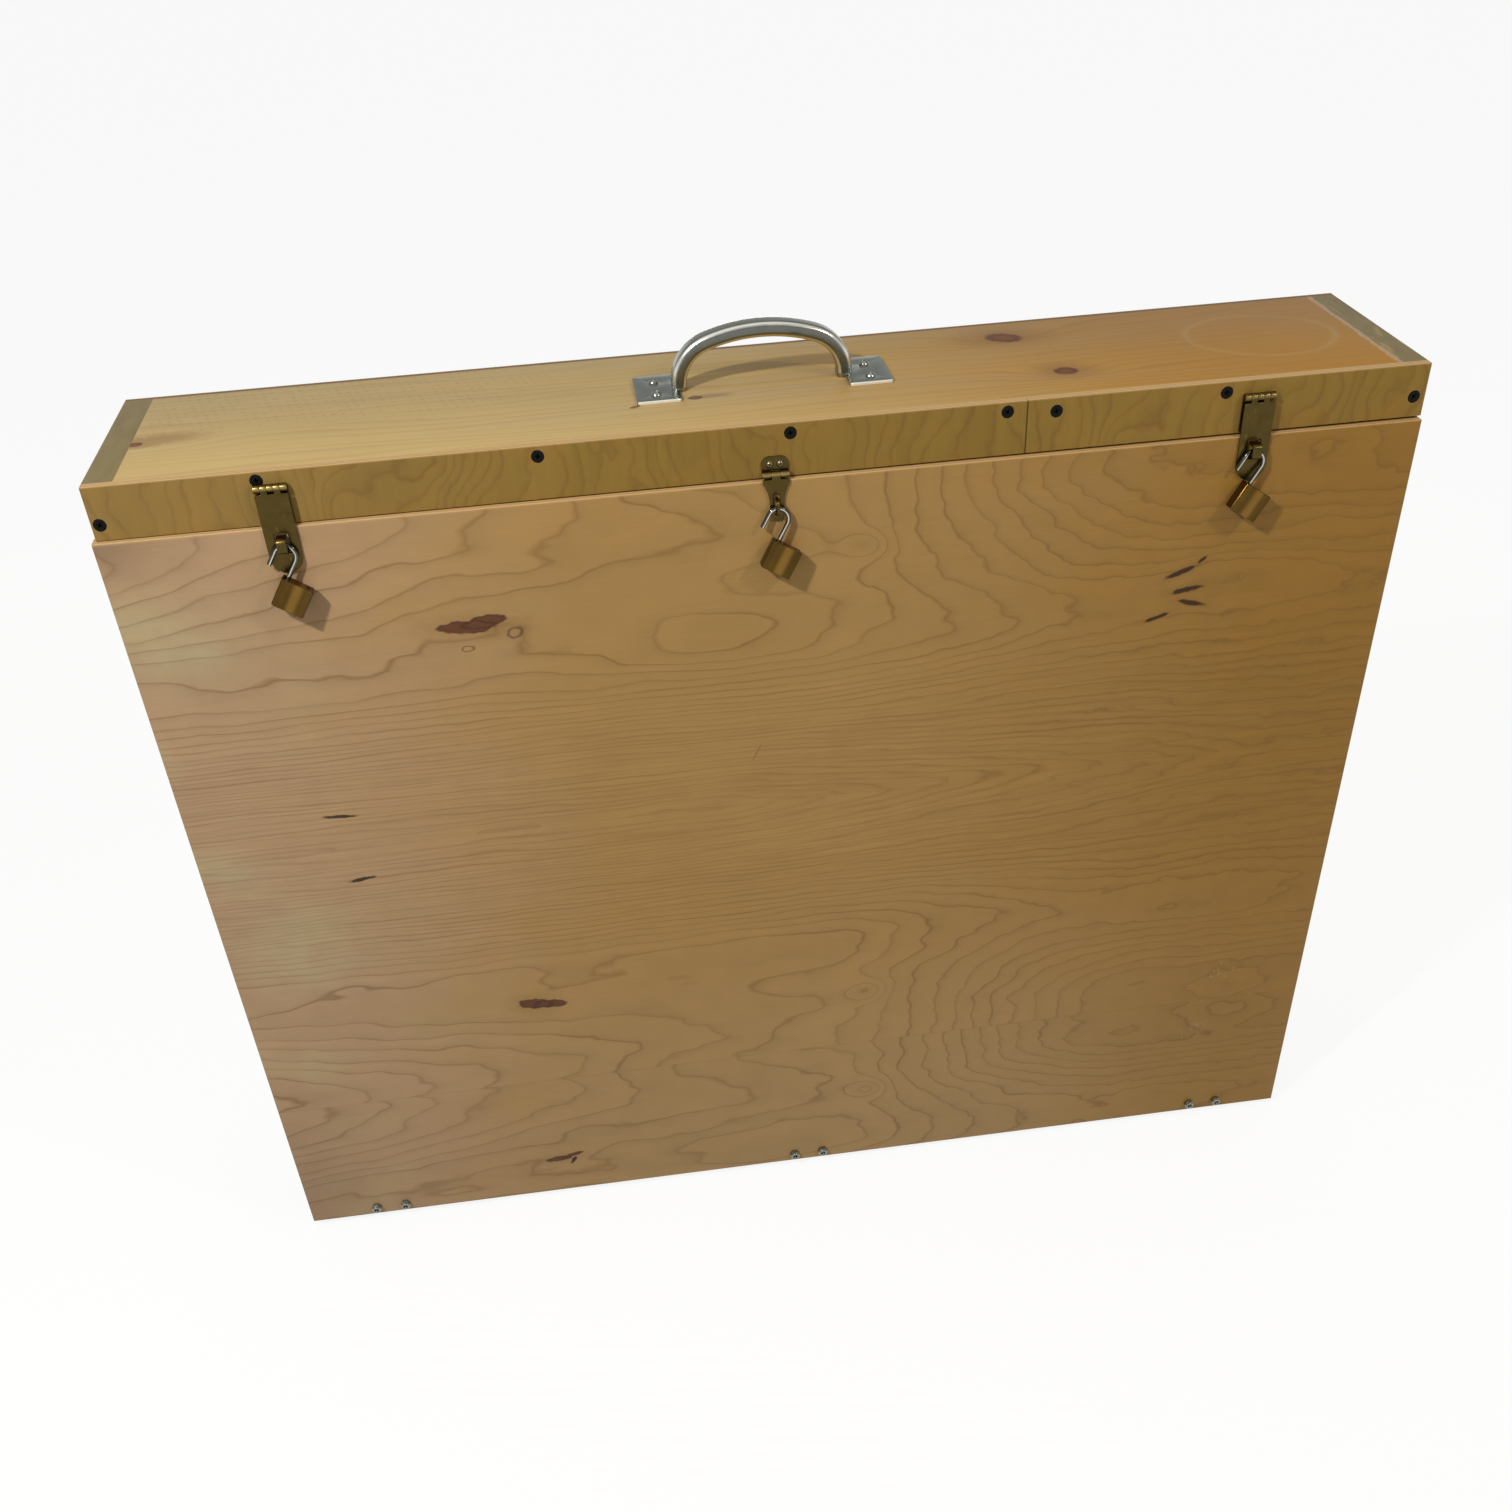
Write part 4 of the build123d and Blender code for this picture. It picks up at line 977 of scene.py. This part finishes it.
def screw_tree():
    """Puts a screw on every point, its head along the point's direction and its recess turned."""
    tree = bpy.data.node_groups.new("screws_in_place", "GeometryNodeTree")
    inputs = {"Points": "Geometry", "Screw": "Object", "Finish": "Material", "Scale": "Float", "Seed": "Int"}
    for name, kind in inputs.items():
        tree.interface.new_socket(name, in_out="INPUT", socket_type=f"NodeSocket{kind}")
    tree.interface.new_socket("Screws", in_out="OUTPUT", socket_type="NodeSocketGeometry")
    nodes = {
        name: tree.nodes.new(kind)
        for name, kind in (
            ("start", "NodeGroupInput"),
            ("end", "NodeGroupOutput"),
            ("screw", "GeometryNodeObjectInfo"),
            ("outward", "GeometryNodeInputNamedAttribute"),
            ("align", "FunctionNodeAlignRotationToVector"),
            ("turn", "FunctionNodeRandomValue"),
            ("spin", "FunctionNodeAxisAngleToRotation"),
            ("rotate", "FunctionNodeRotateRotation"),
            ("put", "GeometryNodeInstanceOnPoints"),
            ("real", "GeometryNodeRealizeInstances"),
            ("finish", "GeometryNodeSetMaterial"),
        )
    }
    nodes["outward"].data_type = "FLOAT_VECTOR"
    nodes["outward"].inputs["Name"].default_value = "outward"
    nodes["align"].axis = "Z"
    nodes["turn"].data_type = "FLOAT"
    nodes["turn"].inputs[3].default_value = pi / 2
    nodes["spin"].inputs["Axis"].default_value = (0, 0, 1)
    nodes["rotate"].rotation_space = "LOCAL"
    for source, output, target, socket in (
        ("start", "Screw", "screw", "Object"),
        ("outward", 0, "align", "Vector"),
        ("start", "Seed", "turn", "Seed"),
        ("turn", 1, "spin", "Angle"),
        ("align", "Rotation", "rotate", "Rotation"),
        ("spin", "Rotation", "rotate", "Rotate By"),
        ("start", "Points", "put", "Points"),
        ("screw", "Geometry", "put", "Instance"),
        ("rotate", "Rotation", "put", "Rotation"),
        ("start", "Scale", "put", "Scale"),
        ("put", "Instances", "real", "Geometry"),
        ("real", "Geometry", "finish", "Geometry"),
        ("start", "Finish", "finish", "Material"),
        ("finish", "Geometry", "end", "Screws"),
    ):
        tree.links.new(nodes[source].outputs[output], nodes[target].inputs[socket])
    return tree


def screw_group(tree, kind, material, shape):
    """Replaces one CAD node of screws by detailed ones in the same places."""
    boxes = solids_of(kind.node)
    axis = max(range(3), key=lambda i: abs(kind.outward(boxes[0])[i]))
    length = (boxes[0][1][axis] - boxes[0][0][axis]) / MM
    arm_width = shape.recess_width / MM * min(1.0, kind.radius / FULL_RECESS_RADIUS + 0.1)
    screw = object_of(f"{kind.node}_shape", screw_mesh(kind, length, arm_width), material)
    places, directions = [], []
    for low, high in boxes:
        outward = kind.outward((low, high))
        place = (low + high) / 2
        place[axis] = high[axis] if outward[axis] > 0 else low[axis]
        places.append(place - outward * (kind.head * MM if kind.dome else 0.0))
        directions.extend(outward)
    points = bpy.data.meshes.new(f"{kind.node}_points")
    points.from_pydata(places, [], [])
    points.attributes.new("outward", "FLOAT_VECTOR", "POINT").data.foreach_set("vector", directions)
    holder = object_of(f"{kind.node}_holder", points)
    modifier = holder.modifiers.new("screws", "NODES")
    modifier.node_group = tree
    sockets = {item.name: item.identifier for item in tree.interface.items_tree if item.in_out == "INPUT"}
    for name, value in (("Screw", screw), ("Finish", material), ("Scale", 1.0), ("Seed", shape.turn_seed)):
        modifier[sockets[name]] = value
    holder.update_tag()
    bpy.context.view_layer.update()
    graph = bpy.context.evaluated_depsgraph_get()
    data = bpy.data.meshes.new_from_object(holder.evaluated_get(graph), depsgraph=graph)
    bpy.data.objects.remove(holder)
    bpy.data.objects.remove(screw)
    data.name = f"{kind.node}_finished"
    stand_in(kind.node, data, material, kind.body)


def forward(box):
    return Vector((0, -1, 0))


def backward(box):
    return Vector((0, 1, 0))


def upward(box):
    return Vector((0, 0, 1))


def sideways(box):
    return Vector((1 if box[0].x > 0 else -1, 0, 0))


SCREW_KINDS = (
    Screws("strip_screws", "case", "black_steel", forward, 3.9, 3.4, 1.7, 1.8, False),
    Screws("corner_screws", "case", "zinc_steel", sideways, 3.9, 3.4, 1.7, 1.8, False),
    Screws("back_panel_screws", "case", "zinc_steel", backward, 3.2, 2.8, 1.4, 1.5, False),
    Screws("hinge_wood_screws", "case", "zinc_steel", forward, 2.6, 1.4, 1.25, 1.3, False),
    Screws("hasp_leaf_screws", "case", "antique_brass", forward, 2.3, 1.1, 1.2, 1.2, False),
    Screws("hasp_plate_screws", "case", "antique_brass", forward, 2.3, 1.5, 1.1, 1.15, True),
    Screws("handle_screws", "case", "zinc_steel", upward, 3.3, 2.2, 1.75, 1.6, True),
    Screws("door_bolts", "door", "zinc_steel", backward, 3.6, 2.2, 2.0, 1.8, False),
)


class PieceOperator(bpy.types.Operator):
    """Shared by the operators that make pieces."""

    bl_options = {"REGISTER", "UNDO"}

    def settings(self, name):
        return getattr(bpy.context.scene, f"artbox_{name}")


class ARTBOX_OT_boards(PieceOperator):
    """Finish the pine boards and wear their edges round"""

    bl_idname = "artbox.boards"
    bl_label = "Pine boards"

    def execute(self, context):
        wood, width = self.settings("wood"), self.settings("shape").board_round
        side = pine_side(wood)
        for node, material in (
            ("top_board", pine_top(wood)),
            ("side_board_left", side),
            ("side_board_right", side),
        ):
            rounded_copy(node, material, "case", width)
        paint(plain_sheet(wood, "pine_bottom", True), "bottom_board")
        return {"FINISHED"}


class ARTBOX_OT_plywood(PieceOperator):
    """Finish the plywood door, strip and back panel"""

    bl_idname = "artbox.plywood"
    bl_label = "Plywood"

    def execute(self, context):
        wood = self.settings("wood")
        joint = (corners("front_strip_left")[1].x + corners("front_strip_right")[0].x) / 2
        paint(birch_door(wood), "door_panel")
        paint(birch_strip(wood, joint), "front_strip_left", "front_strip_right")
        paint(plain_sheet(wood, "birch_back", False), "back_panel")
        return {"FINISHED"}


class ARTBOX_OT_screws(PieceOperator):
    """Put detailed screws in place of the plain ones"""

    bl_idname = "artbox.screws"
    bl_label = "Screws"

    def execute(self, context):
        metal, shape = self.settings("metal"), self.settings("shape")
        finishes = {
            "black_steel": plain_metal("black_screws", metal.black, 0.6, metallic=0.0, shine=0.12),
            "zinc_steel": plain_metal("zinc_screws", metal.zinc, 0.27),
            "antique_brass": plain_metal("brass_screws", metal.brass_screw, 0.3),
        }
        tree = screw_tree()
        for kind in SCREW_KINDS:
            screw_group(tree, kind, finishes[kind.slot], shape)
        return {"FINISHED"}


class ARTBOX_OT_handle(PieceOperator):
    """Finish the carrying handle"""

    bl_idname = "artbox.handle"
    bl_label = "Carrying handle"

    def execute(self, context):
        material, width = zinc(self.settings("metal")), self.settings("shape").handle_round
        rounded_copy("carry_handle", material, "case", width, FINE_BEND)
        return {"FINISHED"}


class ARTBOX_OT_hinges(PieceOperator):
    """Finish the door's hinges, nuts and inserts"""

    bl_idname = "artbox.hinges"
    bl_label = "Door hinges"

    def execute(self, context):
        metal, shape = self.settings("metal"), self.settings("shape")
        steel = plain_metal("hinge_zinc", metal.zinc, 0.3)
        for side in SIDES:
            paint(steel, f"{side}_door_hinge_pin")
            for leaf, body in (("frame_leaf", "case"), ("door_leaf", "door")):
                rounded_copy(f"{side}_door_hinge_{leaf}", steel, body, shape.sheet_round)
        rounded_copy("lock_nuts", steel, "door", shape.metal_round)
        paint(plain_metal("nylon", metal.nylon, 0.45, metallic=0.0), "nut_inserts")
        return {"FINISHED"}


class ARTBOX_OT_hasps(PieceOperator):
    """Finish the three hasps"""

    bl_idname = "artbox.hasps"
    bl_label = "Hasps"

    def execute(self, context):
        metal, shape = self.settings("metal"), self.settings("shape")
        brass = aged_brass(metal)
        for side in SIDES:
            for part, body in (("leaf", "case"), ("strap", f"{side}_strap"), ("staple", "door")):
                rounded_copy(f"{side}_hasp_{part}", brass, body, shape.sheet_round)
            paint(brass, f"{side}_hasp_pin")
        return {"FINISHED"}


class ARTBOX_OT_padlocks(PieceOperator):
    """Finish the three padlocks"""

    bl_idname = "artbox.padlocks"
    bl_label = "Padlocks"

    def execute(self, context):
        metal, width = self.settings("metal"), self.settings("shape").metal_round
        for side in SIDES:
            brass, steel = padlock_brass(metal, side), shackle_steel(metal, side)
            rounded_copy(f"{side}_shackle", steel, f"{side}_shackle", width, FINE_BEND)
            rounded_copy(f"{side}_padlock_body", brass, f"{side}_padlock", width)
            paint(brass, f"{side}_padlock_plug", f"{side}_shackle_retainer")
            paint(steel, f"{side}_padlock_latch")
        return {"FINISHED"}


class ARTBOX_OT_stage(PieceOperator):
    """Make the floor, the light and the camera"""

    bl_idname = "artbox.stage"
    bl_label = "Stage"

    camera_place = Vector((-0.11896, -0.98999, 0.96472))
    camera_aim = Vector((-0.03070, -0.079, 0.23284))
    camera_roll = radians(-3.28)
    camera_shift = (-0.0007, 0.1299)
    floor_reach = 14.0
    glow, glow_share = 1.17, 0.76
    lamp_target = Vector((0.0, 0.0, 0.5))

    def execute(self, context):
        stage = self.settings("stage")
        self.make_floor(stage)
        self.make_lamps(stage)
        self.make_sky(stage)
        self.make_camera(stage)
        context.scene.view_settings.view_transform = "Standard"
        return {"FINISHED"}

    @staticmethod
    def seen_directly(shader):
        """1 where the camera, a mirror or a glass shows the surface and 0 where it only lights others."""
        camera, glossy, through = (
            shader.node("ShaderNodeLightPath", output=f"Is {kind} Ray")
            for kind in ("Camera", "Glossy", "Transmission")
        )
        return camera.most(glossy).most(through)

    def make_floor(self, stage):
        shader = Shader("floor")
        matt = shader.node("ShaderNodeBsdfDiffuse", None, {"Color": stage.floor_tone})
        glow = shader.node("ShaderNodeEmission", None, {"Color": stage.backdrop, "Strength": self.glow})
        share = self.seen_directly(shader) * self.glow_share
        surface = shader.node("ShaderNodeMixShader", None, (share, matt, glow))
        shader.node("ShaderNodeOutputMaterial", None, {"Surface": surface})
        mesh = bmesh.new()
        bmesh.ops.create_grid(mesh, x_segments=1, y_segments=1, size=self.floor_reach)
        object_of("floor", mesh, shader.owner)

    def make_lamps(self, stage):
        for name, place, power, tint, size in (
            ("left_lamp", (-0.80, -0.90, 1.56), stage.left_power, (1.0, 0.985, 0.955), 0.10),
            ("right_lamp", (0.95, -0.90, 1.50), stage.right_power, (1.0, 0.90, 0.76), 0.14),
            ("back_lamp", (0.10, 1.60, 0.28), stage.back_power, (1.0, 0.97, 0.92), 0.60),
        ):
            light = bpy.data.lights.new(name, "AREA")
            light.shape = "DISK"
            light.size = size
            light.energy = power
            light.color = tint
            lamp = object_of(name, light)
            lamp.location = place
            lamp.rotation_mode = "QUATERNION"
            lamp.rotation_quaternion = (self.lamp_target - Vector(place)).to_track_quat("-Z", "Y")

    def make_sky(self, stage):
        """Plain light from above and the sides, and a backdrop that metal mirrors darker near the horizon."""
        sky = Shader("studio", bpy.data.worlds.new("studio"))
        bpy.context.scene.world = sky.owner
        _, back, height = sky.split(sky.node("ShaderNodeTexCoord", output="Generated"))
        level = height.smooth(-0.1, 0.9) * (stage.sky_level - stage.wall_level) + stage.wall_level
        light = sky.node("ShaderNodeBackground", None, {"Color": (1.0, 1.0, 1.0), "Strength": level})
        low = height.smooth(0.02, 0.3) * (1 - height.smooth(0.82, 0.96))
        dark = low * (back.smooth(-0.1, 0.5) * 0.12 + 0.5)
        mirrored = 1 - sky.node("ShaderNodeLightPath", output="Is Camera Ray")
        shown = {"Color": stage.backdrop, "Strength": 1 - dark * mirrored}
        plain = sky.node("ShaderNodeBackground", None, shown)
        surface = sky.node("ShaderNodeMixShader", None, (self.seen_directly(sky), light, plain))
        sky.node("ShaderNodeOutputWorld", None, {"Surface": surface})

    def make_camera(self, stage):
        data = bpy.data.cameras.new("camera")
        data.sensor_width = 36.0
        data.lens = stage.lens
        data.shift_x, data.shift_y = self.camera_shift
        data.clip_start, data.clip_end = 0.05, 60.0
        camera = object_of("camera", data)
        camera.location = self.camera_place
        camera.rotation_mode = "QUATERNION"
        look = (self.camera_aim - self.camera_place).to_track_quat("-Z", "Y")
        camera.rotation_quaternion = look @ Quaternion((0, 0, 1), self.camera_roll)
        bpy.context.scene.camera = camera


OPERATORS = (
    ARTBOX_OT_boards,
    ARTBOX_OT_plywood,
    ARTBOX_OT_screws,
    ARTBOX_OT_handle,
    ARTBOX_OT_hinges,
    ARTBOX_OT_hasps,
    ARTBOX_OT_padlocks,
    ARTBOX_OT_stage,
)


class ARTBOX_PT_panel(bpy.types.Panel):
    """Lists the pieces and their settings"""

    bl_idname = "ARTBOX_PT_panel"
    bl_label = "Art box"
    bl_space_type = "VIEW_3D"
    bl_region_type = "UI"
    bl_category = "Art box"

    def draw(self, context):
        for operator in OPERATORS:
            self.layout.operator(operator.bl_idname)
        for name, group in SETTINGS.items():
            settings = getattr(context.scene, name)
            box = self.layout.box()
            for key in group.__annotations__:
                box.prop(settings, key)


def register():
    for group in SETTINGS.values():
        bpy.utils.register_class(group)
    for name, group in SETTINGS.items():
        setattr(bpy.types.Scene, name, PointerProperty(type=group))
    for operator in OPERATORS:
        bpy.utils.register_class(operator)
    bpy.utils.register_class(ARTBOX_PT_panel)


def unregister():
    bpy.utils.unregister_class(ARTBOX_PT_panel)
    for operator in reversed(OPERATORS):
        bpy.utils.unregister_class(operator)
    for name in SETTINGS:
        delattr(bpy.types.Scene, name)
    for group in reversed(list(SETTINGS.values())):
        bpy.utils.unregister_class(group)


def main():
    register()
    for operator in OPERATORS:
        family, name = operator.bl_idname.split(".")
        getattr(getattr(bpy.ops, family), name)()


if __name__ == "__main__":
    main()
